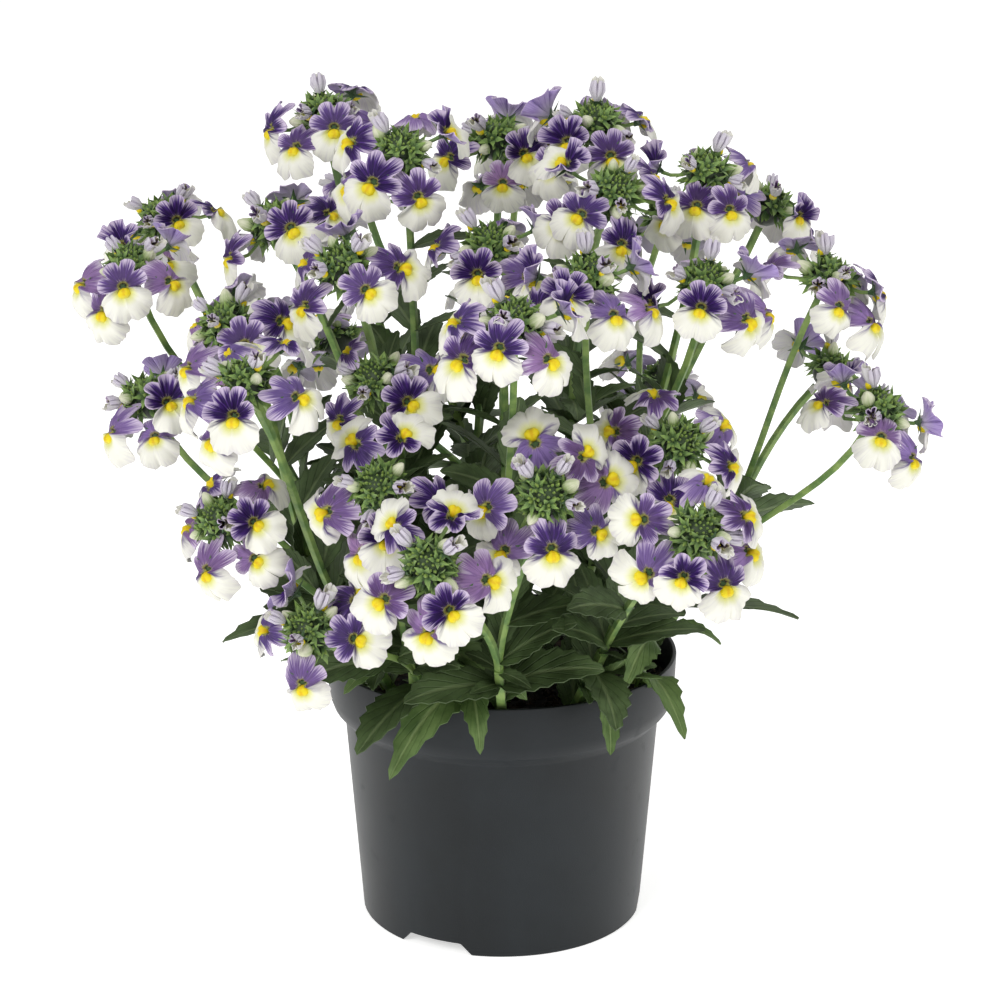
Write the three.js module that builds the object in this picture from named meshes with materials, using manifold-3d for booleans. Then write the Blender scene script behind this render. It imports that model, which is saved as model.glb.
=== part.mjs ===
// Potted triple crown nemesia: a nursery pot, its soil, branching leafy stems and rounded heads
// of two-lipped blooms. Millimetres, +Z up, origin on the floor under the middle of the pot.
import * as THREE from 'three';
import { mergeVertices } from 'three/addons/utils/BufferGeometryUtils.js';
import Module from 'manifold-3d';

const wasm = await Module();
wasm.setup();

// Sizes of the pot
const POT_HEIGHT = 101;
const POT_SIDES = 32;
const POT_RIM_RADIUS = 65;
const POT_SHOULDER_RADIUS = 58.5;
const POT_SHOULDER_HEIGHT = 77.5;
const RIM_STEP = 6.5;
const POT_FOOT_RADIUS = 52.4;
const POT_FLOOR_RADIUS = 52.8;
const POT_WALL = 1.6;
const FOOT_WIDTH = 3;
const FLOOR_HEIGHT = 5;
const FLOOR_THICKNESS = 1.5;
const FOOT_GAP_ANGLES = [-118, 2, 122];
const FOOT_GAP_HEIGHT = 4.5;
const FOOT_GAP_HALF_WIDTH = 15;
const FOOT_GAP_SPLAY = 0.5;
const FOOT_GAP_STEP = 1.3;
const FOOT_GAP_CORNER = 4.5;
const DRAIN_HOLES = 4;
const DRAIN_HOLE_RADIUS = 4.5;
const DRAIN_HOLE_RING = 34;

// Sizes of the soil
const SOIL_SHOULDER_RADIUS = 61.2;
const SOIL_EDGE_RADIUS = 62.3;
const SOIL_EDGE_HEIGHT = 88.5;
const SOIL_CROWN_HEIGHT = 91;
const FIT_GAP = 0.4;
const ROOT_HEIGHT = 80;

// Sizes of the stems: circumradius of their square section, and where the trunk forks
const TRUNK_RADIUS = 2.3;
const BRANCH_RADIUS = 1.6;
const SHOOT_RADIUS = 1.5;
const SEAT_GAP = 0.3;
const FORK_SHARE = 0.36;
const FORK_RISE = 0.3;
const BRANCH_REACH = 0.36;
const BRANCH_STEPS = 3;

// Sizes of a flower head: the green rosette and the ring of blooms round it
const ROSETTE_SIDES = 5;
const ROSETTE_FOOT = 7.5;
const ROSETTE_RADIUS = 7;
const ROSETTE_WAIST = -1;
const ROSETTE_CROWN_RADIUS = 5.6;
const ROSETTE_CROWN = 5;
const ROSETTE_TOP = 7;
const BUD_POINT = 3.2;
const GOLDEN_ANGLE = 137.5;
const BLOOM_RING = 18;
const BLOOM_RING_STEP = 0.5;
const BLOOM_TOP = 2;
const BLOOM_DROP = 1.6;
const BLOOM_TILT = 26;
const BLOOM_TILT_BY_LEAN = 0.34;
const BLOOM_SLOTS = 10;
const BLOOM_SLIM = 0.9;
// How far chance moves a bloom: degrees round the head and of tilt, mm outwards and along the
// axis, degrees of roll, and share of its size
const BLOOM_CHANCE = [16, 18, 2, 2, 24, 0.12];
const DROOP_KEPT = 0.4;
const RISE_KEPT = 0.6;
const PEDICEL_DEPTH = 7.5;
const BLOOM_BACK = -1.2;
const BLOOM_BACK_RADIUS = 1.5;
const BLOOM_PEAK_DROP = 1.2;
const BLOOM_PEAK = 2.6;

// Half of a bloom's edge from the cleft at its top to the foot of its lip:
// degrees from the top, distance from the throat, height out of the face
const BLOOM_EDGE = [
  [0, 6.2, -0.4],
  [14, 10, -1.2],
  [32, 9.6, -1],
  [46, 5.4, 0],
  [68, 9.4, 0.2],
  [98, 3.8, 0.8],
  [113, 9.6, 0.8],
  [144, 13.8, 1.6],
  [180, 13.2, 2.4],
];

// Ways in which a bloom bends clear of its neighbours, tried in order:
// degrees round the head, mm outwards, mm along the axis, degrees of tilt, share of full size
const BLOOM_BENDS = [
  [0, 0, 0, 0, 1],
  [10, 0, 0, 0, 1],
  [-10, 0, 0, 0, 1],
  [0, -1, 3, 8, 1],
  [0, 0, -4, -8, 1],
  [18, -1, 1, 0, 1],
  [-18, -1, 1, 0, 1],
  [12, -2, 4, 14, 0.95],
  [-12, -2, 4, 14, 0.95],
  [14, -1, -5, -10, 0.95],
  [-14, -1, -5, -10, 0.95],
  [0, -3, 5, 22, 0.9],
  [24, -2, 2, 6, 0.9],
  [-24, -2, 2, 6, 0.9],
  [8, -4, 2, 12, 0.85],
  [-8, -4, -3, 2, 0.85],
];

// Each stem: where it leaves the soil (x, y), then its heads. A head has its middle (x, y, z),
// the lean of its axis from upright, the heading of that lean, the side of its first bloom
// (degrees, 0 is +X, 90 is +Y), and how many blooms are open.
const STEMS = [
  { root: [-33, 13], heads: [
    [-125, 42, 254, 22, 200, -60, 6],
    [-131, -10, 247, 20, 230, -95, 6],
    [-98, 64, 212, 42, 147, 140, 4],
  ] },
  { root: [-38, -9], heads: [
    [-125, -26, 203, 26, 200, -60, 6],
    [-94, -50, 235, 36, 225, -60, 6],
  ] },
  { root: [-31, -28], heads: [
    [-95, -74, 172, 48, 220, -40, 6],
    [-83, -98, 227, 32, 235, -95, 6],
  ] },
  { root: [-18, -39], heads: [
    [-64, -100, 142, 52, 240, -30, 5],
    [-40, -104, 193, 56, 255, -80, 6],
  ] },
  { root: [1, -44], heads: [
    [-23, -136, 177, 58, 260, -70, 6],
    [14, -116, 194, 60, 272, -90, 7],
  ] },
  { root: [21, -39], heads: [
    [62, -130, 186, 56, 290, -100, 7],
    [59, -80, 201, 50, 290, -150, 6],
  ] },
  { root: [2, -23], heads: [
    [4, -112, 250, 22, 270, -105, 6],
    [-4, -40, 260, 24, 250, -110, 5],
  ] },
  { root: [-19, -15], heads: [
    [-53, -64, 258, 36, 240, -60, 5],
    [-80, -8, 262, 28, 200, -70, 5],
    [-42, -64, 219, 42, 240, -50, 4],
  ] },
  { root: [-12, 4], heads: [
    [-64, 26, 295, 18, 240, -80, 6],
    [-35, -24, 290, 40, 262, -120, 6],
  ] },
  { root: [-5, 21], heads: [
    [-2, 32, 285, 18, 260, -60, 6],
    [6, 86, 266, 32, 85, 90, 4],
    [-54, 86, 256, 34, 122, 120, 4],
  ] },
  { root: [13, -3], heads: [
    [33, 4, 295, 20, 275, -120, 6],
    [38, -36, 278, 42, 290, -130, 6],
  ] },
  { root: [21, -19], heads: [
    [29, -72, 256, 20, 280, -110, 6],
    [69, -54, 250, 20, 285, -100, 6],
  ] },
  { root: [28, 13], heads: [
    [72, -4, 279, 22, 280, -110, 6],
    [99, 46, 258, 26, 20, -60, 5],
    [64, 92, 244, 38, 55, 60, 4],
  ] },
  { root: [42, -5], heads: [
    [116, -6, 242, 26, 330, 0, 6],
    [133, -24, 198, 28, 335, 0, 7],
    [124, 44, 196, 46, 15, 0, 4],
  ] },
  { root: [2, 41], heads: [
    [-66, 112, 192, 50, 120, 120, 4],
    [0, 130, 202, 48, 90, 90, 4],
    [64, 116, 172, 54, 60, 60, 4],
  ] },
];

// Young leafy shoots at the rim: root (x, y), tip (x, y, z), then their leaves, each as the
// share up the shoot, the knee and the tip of its midrib, and its half width
const SHOOTS = [
  { root: [-9, -49], tip: [-12, -58, 110], leaves: [
    [0.9, [-24, -70, 111], [-39, -83, 82], 7.6],
    [0.9, [-2, -70, 111], [4, -80, 92], 5],
    [0.6, [-24, -58, 104], [-40, -66, 104], 5],
    [1, [-16, -64, 118], [-20, -74, 122], 3.6],
  ] },
  { root: [-31, -40], tip: [-33, -55, 128], leaves: [
    [0.8, [-14, -70, 124], [0, -80, 104], 6.5],
    [0.8, [-36, -68, 124], [-46, -76, 108], 5.5],
    [1, [-18, -70, 132], [-16, -80, 124], 4.5],
    [1, [-32, -60, 134], [-42, -62, 134], 4.5],
  ] },
  { root: [38, -40], tip: [37, -49, 108], leaves: [
    [0.9, [28, -68, 106], [24, -77, 90], 5.5],
    [0.9, [42, -60, 112], [56, -62, 112], 5],
    [0.9, [20, -60, 112], [10, -64, 112], 4],
    [1, [32, -64, 116], [34, -70, 122], 3.4],
  ] },
  { root: [45, -29], tip: [55, -41, 124], leaves: [
    [0.45, [56, -56, 110], [62, -66, 78], 7.2],
    [0.9, [50, -56, 126], [43, -68, 111], 6],
    [0.9, [68, -44, 128], [78, -44, 118], 5.5],
    [1, [62, -34, 134], [72, -28, 138], 5],
  ] },
  { root: [-44, -24], tip: [-56, -40, 122], leaves: [
    [0.9, [-66, -52, 126], [-74, -60, 112], 6],
    [0.9, [-52, -56, 122], [-46, -68, 104], 5.5],
    [1, [-66, -34, 130], [-78, -30, 126], 5],
    [0.6, [-66, -30, 110], [-80, -28, 106], 5],
  ] },
];

// Leaf pairs by rule: share along the trunk or branch, length and half width
const TRUNK_LEAF = { along: 0.8, length: 46, halfWidth: 8 };
const BRANCH_LEAF = { along: 0.3, length: 36, halfWidth: 6.6 };
const LEAF_RISE = 36;
const LEAF_DROOP = 0.2;
const LEAF_KNEE = 0.55;
const LEAF_THICKNESS = 1.4;
const LEAF_FOLD = 0.25;
const LEAF_FOOT_DEPTH = 0.7;
const LEAF_BLADE_FROM = 0.3;
// A leaf's half width is t ** LEAF_SWELL * (1 - t) ** LEAF_TAPER over LEAF_WIDEST, its largest value
const LEAF_SWELL = 0.55;
const LEAF_TAPER = 0.9;
const LEAF_WIDEST = 0.382;
const LARGE_LEAF_STATIONS = [0.2, 0.46, 0.72];
const SMALL_LEAF_STATIONS = [0.26, 0.62];
const LEAF_NOTCH_AFTER = 0.05;
const LEAF_NOTCH_DEPTH = 0.8;

// Ways in which a leaf bends clear: degrees round its stem, degrees of rise, share of its length
const LEAF_BENDS = [
  [0, 0, 1],
  [25, 0, 1],
  [-25, 0, 1],
  [0, 22, 1],
  [0, -26, 1],
  [50, 0, 0.9],
  [-50, 0, 0.9],
  [25, 24, 0.85],
  [-25, 24, 0.85],
  [25, -30, 0.8],
  [-25, -30, 0.8],
  [0, 40, 0.75],
  [75, 10, 0.7],
  [-75, 10, 0.7],
];

// How far a thing already placed keeps the next one away
const CLEARANCE = 0.4;

// Materials
const plastic = new THREE.MeshStandardMaterial({ color: 0x3b3e42, roughness: 0.5, metalness: 0 });
const peat = new THREE.MeshStandardMaterial({ color: 0x1d1611, roughness: 1, metalness: 0 });
const leafGreen = new THREE.MeshStandardMaterial({ color: 0x37562b, roughness: 0.6, metalness: 0 });
const petalViolet = new THREE.MeshStandardMaterial({ color: 0x9c86c8, roughness: 0.7, metalness: 0 });

// Small helpers
const UP = new THREE.Vector3(0, 0, 1);
const radians = THREE.MathUtils.degToRad;
const vector = (p) => new THREE.Vector3(...p);
const mix = (a, b, share) => a.clone().lerp(b, share);

// A repeatable row of draws between 0 and 1 for one seed
function draws(seed) {
  let state = seed * 7919 + 13;
  const next = () => {
    state = (state * 16807) % 2147483647;
    return state / 2147483647;
  };
  next();
  return next;
}

// A geometry as a solid with its faces pointing out
function solidOf(geometry) {
  const bare = geometry.clone();
  bare.deleteAttribute('normal');
  bare.deleteAttribute('uv');
  const merged = mergeVertices(bare, 1e-4);
  const vertProperties = merged.attributes.position.array;
  const triVerts = new Uint32Array(merged.index.array);
  const solid = new wasm.Manifold(new wasm.Mesh({ numProp: 3, vertProperties, triVerts }));
  if (solid.volume() > 0) return solid;
  for (let i = 0; i < triVerts.length; i += 3) {
    [triVerts[i + 1], triVerts[i + 2]] = [triVerts[i + 2], triVerts[i + 1]];
  }
  return new wasm.Manifold(new wasm.Mesh({ numProp: 3, vertProperties, triVerts }));
}

// A geometry from corner points and faces given as lists of corner numbers
function facets(points, faces) {
  const geometry = new THREE.BufferGeometry();
  const position = points.flatMap((p) => [p.x, p.y, p.z]);
  geometry.setAttribute('position', new THREE.Float32BufferAttribute(position, 3));
  geometry.setIndex(faces.flat());
  return geometry;
}

// The largest closed body of a solid, with sealed pockets filled and loose scraps dropped
function largestBody(solid) {
  const { vertProperties, triVerts } = solid.getMesh();
  const link = Array.from({ length: vertProperties.length / 3 }, (_, i) => i);
  const find = (i) => {
    while (link[i] !== i) {
      link[i] = link[link[i]];
      i = link[i];
    }
    return i;
  };
  for (let i = 0; i < triVerts.length; i += 3) {
    link[find(triVerts[i + 1])] = find(triVerts[i]);
    link[find(triVerts[i + 2])] = find(triVerts[i]);
  }
  const groups = new Map();
  const corner = (i) => new THREE.Vector3().fromArray(vertProperties, triVerts[i] * 3);
  for (let i = 0; i < triVerts.length; i += 3) {
    const group = groups.get(find(triVerts[i])) ?? { volume: 0, faces: [] };
    group.volume += corner(i).dot(corner(i + 1).cross(corner(i + 2))) / 6;
    group.faces.push(triVerts[i], triVerts[i + 1], triVerts[i + 2]);
    groups.set(find(triVerts[i]), group);
  }
  const largest = [...groups.values()].reduce((a, b) => (b.volume > a.volume ? b : a));
  const geometry = new THREE.BufferGeometry();
  geometry.setAttribute('position', new THREE.Float32BufferAttribute(vertProperties, 3));
  geometry.setIndex(largest.faces);
  return geometry;
}

const join = (solids) => solids.reduce((a, b) => a.add(b));
const nodes = new THREE.Group();

// Adds a named node that holds the largest body of a solid
function addNode(name, solid, material) {
  const mesh = new THREE.Mesh(largestBody(solid), material);
  mesh.name = name;
  nodes.add(mesh);
}

// A round shape from its profile of [radius, height], turned about the pot's axis
function turned(profile) {
  const points = profile.map(([r, z]) => new THREE.Vector2(r, z));
  return solidOf(new THREE.LatheGeometry(points, POT_SIDES).rotateX(Math.PI / 2));
}

// The two directions square to a curve at one share of it: level across the curve's whole run,
// and square to that
function frameOn(path, share) {
  const along = path.getTangent(share);
  const run = path.getPoint(1).sub(path.getPoint(0));
  const level = run.cross(UP).normalize();
  level.addScaledVector(along, -level.dot(along)).normalize();
  return { along, level, upper: level.clone().cross(along) };
}

// A rod of square section along a curve, on from a wider foot if one is given
function rod(path, radius, steps, foot = null) {
  const points = [];
  for (let k = foot ? -1 : 0; k <= steps; k++) {
    const middle = k < 0 ? foot.at : path.getPoint(k / steps);
    const { level, upper } = frameOn(path, Math.max(k, 0) / steps);
    const reach = k < 0 || (foot && k === 0) ? foot.radius : radius;
    [45, 135, 225, 315].forEach((angle) => {
      points.push(middle.clone()
        .addScaledVector(level, reach * Math.cos(radians(angle)))
        .addScaledVector(upper, reach * Math.sin(radians(angle))));
    });
  }
  const faces = [[0, 1, 2], [0, 2, 3]];
  const end = points.length - 4;
  for (let k = 0; 4 * k < end; k++) {
    for (let i = 0; i < 4; i++) {
      const [a, b] = [4 * k + i, 4 * k + ((i + 1) % 4)];
      faces.push([b, a, a + 4], [b, a + 4, b + 4]);
    }
  }
  faces.push([end, end + 2, end + 1], [end, end + 3, end + 2]);
  return solidOf(facets(points, faces));
}

// Things already placed, each with the space that it keeps free and the node that it belongs to
const placed = [];

function boxOf(solid) {
  const { min, max } = solid.boundingBox();
  return new THREE.Box3(new THREE.Vector3(...min), new THREE.Vector3(...max));
}

function keepFree(solid, owner, face = null) {
  placed.push({ solid, box: boxOf(solid), owner, face });
}

// Whether a solid of one node is clear of every other node, and its face of its own node's faces
function isClear(solid, owner, face = null) {
  const box = boxOf(solid);
  return placed.every((other) => {
    if (!box.intersectsBox(other.box)) return true;
    if (other.owner !== owner) return solid.intersect(other.solid).isEmpty();
    return !face || !other.face || face.intersect(other.face).isEmpty();
  });
}

// Pot: a tapering wall with a stepped rim band, a raised floor and a ring cut into three feet
function makePot() {
  const inner = (radius) => radius - POT_WALL;
  const outside = [
    [POT_FOOT_RADIUS, 0],
    [POT_SHOULDER_RADIUS, POT_SHOULDER_HEIGHT],
    [POT_RIM_RADIUS - 2.5, POT_SHOULDER_HEIGHT + 3.5],
    [POT_RIM_RADIUS - 0.7, POT_SHOULDER_HEIGHT + 8.5],
    [POT_RIM_RADIUS, POT_HEIGHT],
  ];
  const inside = [
    [inner(POT_RIM_RADIUS), POT_HEIGHT],
    [inner(POT_RIM_RADIUS - 1.2), POT_SHOULDER_HEIGHT + RIM_STEP],
    [inner(POT_SHOULDER_RADIUS), POT_SHOULDER_HEIGHT],
    [inner(POT_FLOOR_RADIUS), FLOOR_HEIGHT + FLOOR_THICKNESS],
    [0, FLOOR_HEIGHT + FLOOR_THICKNESS],
  ];
  const footInner = POT_FOOT_RADIUS - FOOT_WIDTH;
  let pot = turned([[0, FLOOR_HEIGHT], [footInner, FLOOR_HEIGHT], [footInner, 0], ...outside, ...inside]);

  const gap = new THREE.Shape();
  gap.moveTo(-FOOT_GAP_HALF_WIDTH - FOOT_GAP_SPLAY, -1);
  gap.lineTo(FOOT_GAP_HALF_WIDTH + FOOT_GAP_SPLAY, -1);
  gap.lineTo(FOOT_GAP_HALF_WIDTH - FOOT_GAP_STEP, FOOT_GAP_HEIGHT / 3);
  gap.lineTo(FOOT_GAP_HALF_WIDTH - FOOT_GAP_CORNER, FOOT_GAP_HEIGHT);
  gap.lineTo(-FOOT_GAP_HALF_WIDTH + FOOT_GAP_CORNER, FOOT_GAP_HEIGHT);
  gap.lineTo(-FOOT_GAP_HALF_WIDTH + FOOT_GAP_STEP, FOOT_GAP_HEIGHT / 3);
  for (const angle of FOOT_GAP_ANGLES) {
    const outwards = new THREE.Vector3(Math.cos(radians(angle)), Math.sin(radians(angle)), 0);
    const basis = new THREE.Matrix4().makeBasis(UP.clone().cross(outwards), UP, outwards);
    basis.setPosition(outwards.clone().multiplyScalar(footInner - 4));
    const cutter = new THREE.ExtrudeGeometry(gap, { depth: 3 * FOOT_WIDTH, bevelEnabled: false });
    pot = pot.subtract(solidOf(cutter.applyMatrix4(basis)));
  }
  for (let i = 0; i < DRAIN_HOLES; i++) {
    const turn = (2 * Math.PI * (i + 0.5)) / DRAIN_HOLES;
    const depth = 4 * FLOOR_THICKNESS;
    const cutter = new THREE.CylinderGeometry(DRAIN_HOLE_RADIUS, DRAIN_HOLE_RADIUS, depth, 8);
    cutter.rotateX(Math.PI / 2);
    const [x, y] = [DRAIN_HOLE_RING * Math.cos(turn), DRAIN_HOLE_RING * Math.sin(turn)];
    cutter.translate(x, y, FLOOR_HEIGHT + FLOOR_THICKNESS / 2);
    pot = pot.subtract(solidOf(cutter));
  }
  return pot;
}

// Soil: fills the pot to below its rim, with a hole for each stem
function makeSoil(holes) {
  const soil = turned([
    [0, FLOOR_HEIGHT + FLOOR_THICKNESS + FIT_GAP],
    [POT_FLOOR_RADIUS - POT_WALL - FIT_GAP, FLOOR_HEIGHT + FLOOR_THICKNESS + FIT_GAP],
    [POT_SHOULDER_RADIUS - POT_WALL - FIT_GAP, POT_SHOULDER_HEIGHT],
    [SOIL_SHOULDER_RADIUS, POT_SHOULDER_HEIGHT + RIM_STEP],
    [SOIL_EDGE_RADIUS, SOIL_EDGE_HEIGHT],
    [0, SOIL_CROWN_HEIGHT],
  ]);
  return holes.reduce((rest, hole) => rest.subtract(hole), soil);
}

// The hole that a shoot stands in
function shootHole(path) {
  const bottom = path.getPoint(0).addScaledVector(path.getTangent(0), -SEAT_GAP);
  return rod(new THREE.LineCurve3(bottom, path.getPoint(1)), SHOOT_RADIUS + FIT_GAP * Math.SQRT2, 1);
}

// One stem: a trunk out of the soil, then a branch to each of its heads
class Stem {
  constructor({ root, heads }, index) {
    this.name = `stem_${String(index + 1).padStart(2, '0')}`;
    this.root = new THREE.Vector3(root[0], root[1], ROOT_HEIGHT);
    this.heads = heads.map((row) => new Head(row));
    const middle = new THREE.Vector3();
    this.heads.forEach((head) => middle.addScaledVector(head.at, 1 / this.heads.length));
    this.fork = new THREE.Vector3(
      THREE.MathUtils.lerp(this.root.x, middle.x, FORK_SHARE),
      THREE.MathUtils.lerp(this.root.y, middle.y, FORK_SHARE),
      THREE.MathUtils.lerp(SOIL_CROWN_HEIGHT, middle.z, FORK_RISE),
    );
    this.trunk = new THREE.LineCurve3(this.root, this.fork);
    this.rise = this.trunk.getTangent(0);
    this.branches = this.heads.map((head) => this.branchTo(head));
  }

  // A curve that leaves the trunk along it and meets the rosette along the head's axis
  branchTo(head) {
    const start = this.fork.clone().addScaledVector(this.rise, -BRANCH_RADIUS);
    const end = head.at.clone().addScaledVector(head.axis, -ROSETTE_FOOT - SEAT_GAP);
    const reach = start.distanceTo(end) * BRANCH_REACH;
    return new THREE.CubicBezierCurve3(
      start,
      start.clone().addScaledVector(this.rise, reach),
      end.clone().addScaledVector(head.axis, -reach),
      end,
    );
  }

  // The trunk with its first branch, then the other branches, all as much wider and the trunk as
  // much deeper as asked
  rods(wider = 0, deeper = 0) {
    const at = this.root.clone().addScaledVector(this.rise, -deeper);
    const foot = { at, radius: TRUNK_RADIUS + wider };
    return this.branches.map((path, order) => (
      rod(path, BRANCH_RADIUS + wider, BRANCH_STEPS, order ? null : foot)
    ));
  }
}

// One flower head: a rosette of pointed buds with open blooms on stalks round it
class Head {
  constructor([x, y, z, lean, heading, turn, blooms]) {
    this.at = new THREE.Vector3(x, y, z);
    const hinge = new THREE.Vector3(-Math.sin(radians(heading)), Math.cos(radians(heading)), 0);
    this.attitude = new THREE.Quaternion().setFromAxisAngle(hinge, radians(lean));
    this.axis = UP.clone().applyQuaternion(this.attitude);
    this.tilt = BLOOM_TILT + BLOOM_TILT_BY_LEAN * lean;
    this.turn = turn;
    this.blooms = blooms;
    this.makeRosette();
  }

  // The rosette: a flat foot on the stem's end, then faces that rise to buds' points, and
  // between them a plain face for each stalk, upper ones first
  makeRosette() {
    const ring = (radius, height, shift) => Array.from({ length: ROSETTE_SIDES }, (_, i) => {
      const turn = radians(this.turn) + (2 * Math.PI * (i - 0.5 + shift)) / ROSETTE_SIDES;
      return new THREE.Vector3(radius * Math.cos(turn), radius * Math.sin(turn), height);
    });
    const points = [
      ...ring(BRANCH_RADIUS, -ROSETTE_FOOT, 0),
      ...ring(ROSETTE_RADIUS, ROSETTE_WAIST, 0),
      ...ring(ROSETTE_CROWN_RADIUS, ROSETTE_CROWN, 0.5),
      new THREE.Vector3(0, 0, ROSETTE_TOP),
    ].map((p) => p.applyQuaternion(this.attitude).add(this.at));
    const top = points.length - 1;
    const faces = Array.from({ length: ROSETTE_SIDES - 2 }, (_, i) => [0, i + 2, i + 1]);
    const middleOf = (a, b, c) => points[a].clone().add(points[b]).add(points[c]).divideScalar(3);
    const outOf = (a, b, c) => {
      const side = points[b].clone().sub(points[a]);
      return side.cross(points[c].clone().sub(points[a])).normalize();
    };
    const bud = (a, b, c) => {
      const tip = points.push(middleOf(a, b, c).addScaledVector(outOf(a, b, c), BUD_POINT)) - 1;
      faces.push([a, b, tip], [b, c, tip], [c, a, tip]);
    };
    const seat = (a, b, c) => {
      faces.push([a, b, c]);
      return middleOf(a, b, c);
    };
    const [upper, lower] = [[], []];
    for (let i = 0; i < ROSETTE_SIDES; i++) {
      const next = (i + 1) % ROSETTE_SIDES;
      const [foot, rim, crown] = [i, ROSETTE_SIDES + i, 2 * ROSETTE_SIDES + i];
      const [footNext, rimNext, crownNext] = [next, ROSETTE_SIDES + next, 2 * ROSETTE_SIDES + next];
      faces.push([foot, footNext, rim]);
      lower.push(seat(footNext, rimNext, rim));
      upper.push(seat(rim, rimNext, crown));
      bud(rimNext, crownNext, crown);
      bud(crown, crownNext, top);
    }
    this.seats = [upper, lower];
    this.rosette = solidOf(facets(points, faces));
  }

  // Where the bloom of one slot sits under one bend: its throat, its axes and its size
  bloomPlace(slot, bend, chance) {
    const [round, outwards, upwards, tilt, share] = bend;
    const turn = radians(this.turn + GOLDEN_ANGLE * slot + chance[0] + round);
    const spread = radians(this.tilt + chance[1] + tilt);
    const ring = BLOOM_RING + BLOOM_RING_STEP * slot + chance[2] + outwards;
    const height = BLOOM_TOP - BLOOM_DROP * slot + chance[3] + upwards;
    const radial = new THREE.Vector3(Math.cos(turn), Math.sin(turn), 0).applyQuaternion(this.attitude);
    const throat = this.at.clone().addScaledVector(radial, ring).addScaledVector(this.axis, height);
    const [flat, steep] = [Math.cos(spread), Math.sin(spread)];
    const out = radial.clone().multiplyScalar(flat).addScaledVector(this.axis, steep);
    out.z *= out.z < 0 ? DROOP_KEPT : RISE_KEPT;
    out.normalize();
    const top = this.axis.clone().multiplyScalar(flat).addScaledVector(radial, -steep);
    top.applyAxisAngle(out, radians(chance[4]));
    top.addScaledVector(out, -top.dot(out)).normalize();
    return { throat, out, top, right: top.clone().cross(out), size: share * (1 + chance[5]) };
  }

  // A bloom: two upper and two side petals over a broad lip with a raised middle, on its stalk
  bloom(place, seat, grown = 0) {
    const at = (x, y, z) => place.throat.clone()
      .addScaledVector(place.right, x * place.size)
      .addScaledVector(place.top, y * place.size)
      .addScaledVector(place.out, z * place.size);
    const mirrored = BLOOM_EDGE.slice(1, -1).reverse().map(([a, r, z]) => [-a, r, z]);
    const edge = [...BLOOM_EDGE, ...mirrored].map(([angle, radius, depth]) => {
      const reach = radius + grown;
      return at(-reach * Math.sin(radians(angle)), reach * Math.cos(radians(angle)), depth);
    });
    const count = edge.length;
    const back = [90, 210, 330].map((angle) => {
      const reach = BLOOM_BACK_RADIUS + grown;
      return at(reach * Math.cos(radians(angle)), reach * Math.sin(radians(angle)), BLOOM_BACK - grown);
    });
    const points = [...edge, at(0, -BLOOM_PEAK_DROP, BLOOM_PEAK + grown), ...back];
    const peak = count;
    const backOf = (i) => count + 1 + Math.floor((3 * ((i + 3) % count)) / count);
    const faces = [];
    for (let i = 0; i < count; i++) {
      const next = (i + 1) % count;
      faces.push([i, next, peak], [next, i, backOf(i)]);
      if (backOf(next) !== backOf(i)) faces.push([next, backOf(i), backOf(next)]);
    }
    if (seat) {
      const inwards = seat.clone().sub(place.throat).normalize();
      const apex = points.push(seat.clone().addScaledVector(inwards, PEDICEL_DEPTH + 4 * grown)) - 1;
      for (let i = 0; i < 3; i++) {
        faces.push([count + 1 + ((i + 1) % 3), count + 1 + i, apex]);
      }
    } else {
      faces.push([count + 3, count + 2, count + 1]);
    }
    return solidOf(facets(points, faces));
  }

  // Opens the head's blooms one slot after another, each bent clear of what is there
  openBlooms(name, seed) {
    const solids = [];
    for (let slot = 0; slot < BLOOM_SLOTS && solids.length < this.blooms; slot++) {
      const next = draws(seed * BLOOM_SLOTS + slot);
      const chance = BLOOM_CHANCE.map((range) => range * (next() - 0.5));
      for (const bend of BLOOM_BENDS) {
        const place = this.bloomPlace(slot, bend, chance);
        const ring = this.seats.find((seats) => seats.length);
        const far = (seat) => seat.distanceTo(place.throat);
        const seat = ring.reduce((a, b) => (far(b) < far(a) ? b : a));
        const solid = this.bloom(place, seat);
        const slim = this.bloom({ ...place, size: place.size * BLOOM_SLIM }, null);
        if (!isClear(solid, name, slim)) continue;
        solids.push(solid);
        ring.splice(ring.indexOf(seat), 1);
        keepFree(this.bloom(place, seat, CLEARANCE), name, this.bloom(place, null));
        break;
      }
    }
    return solids;
  }
}

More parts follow.
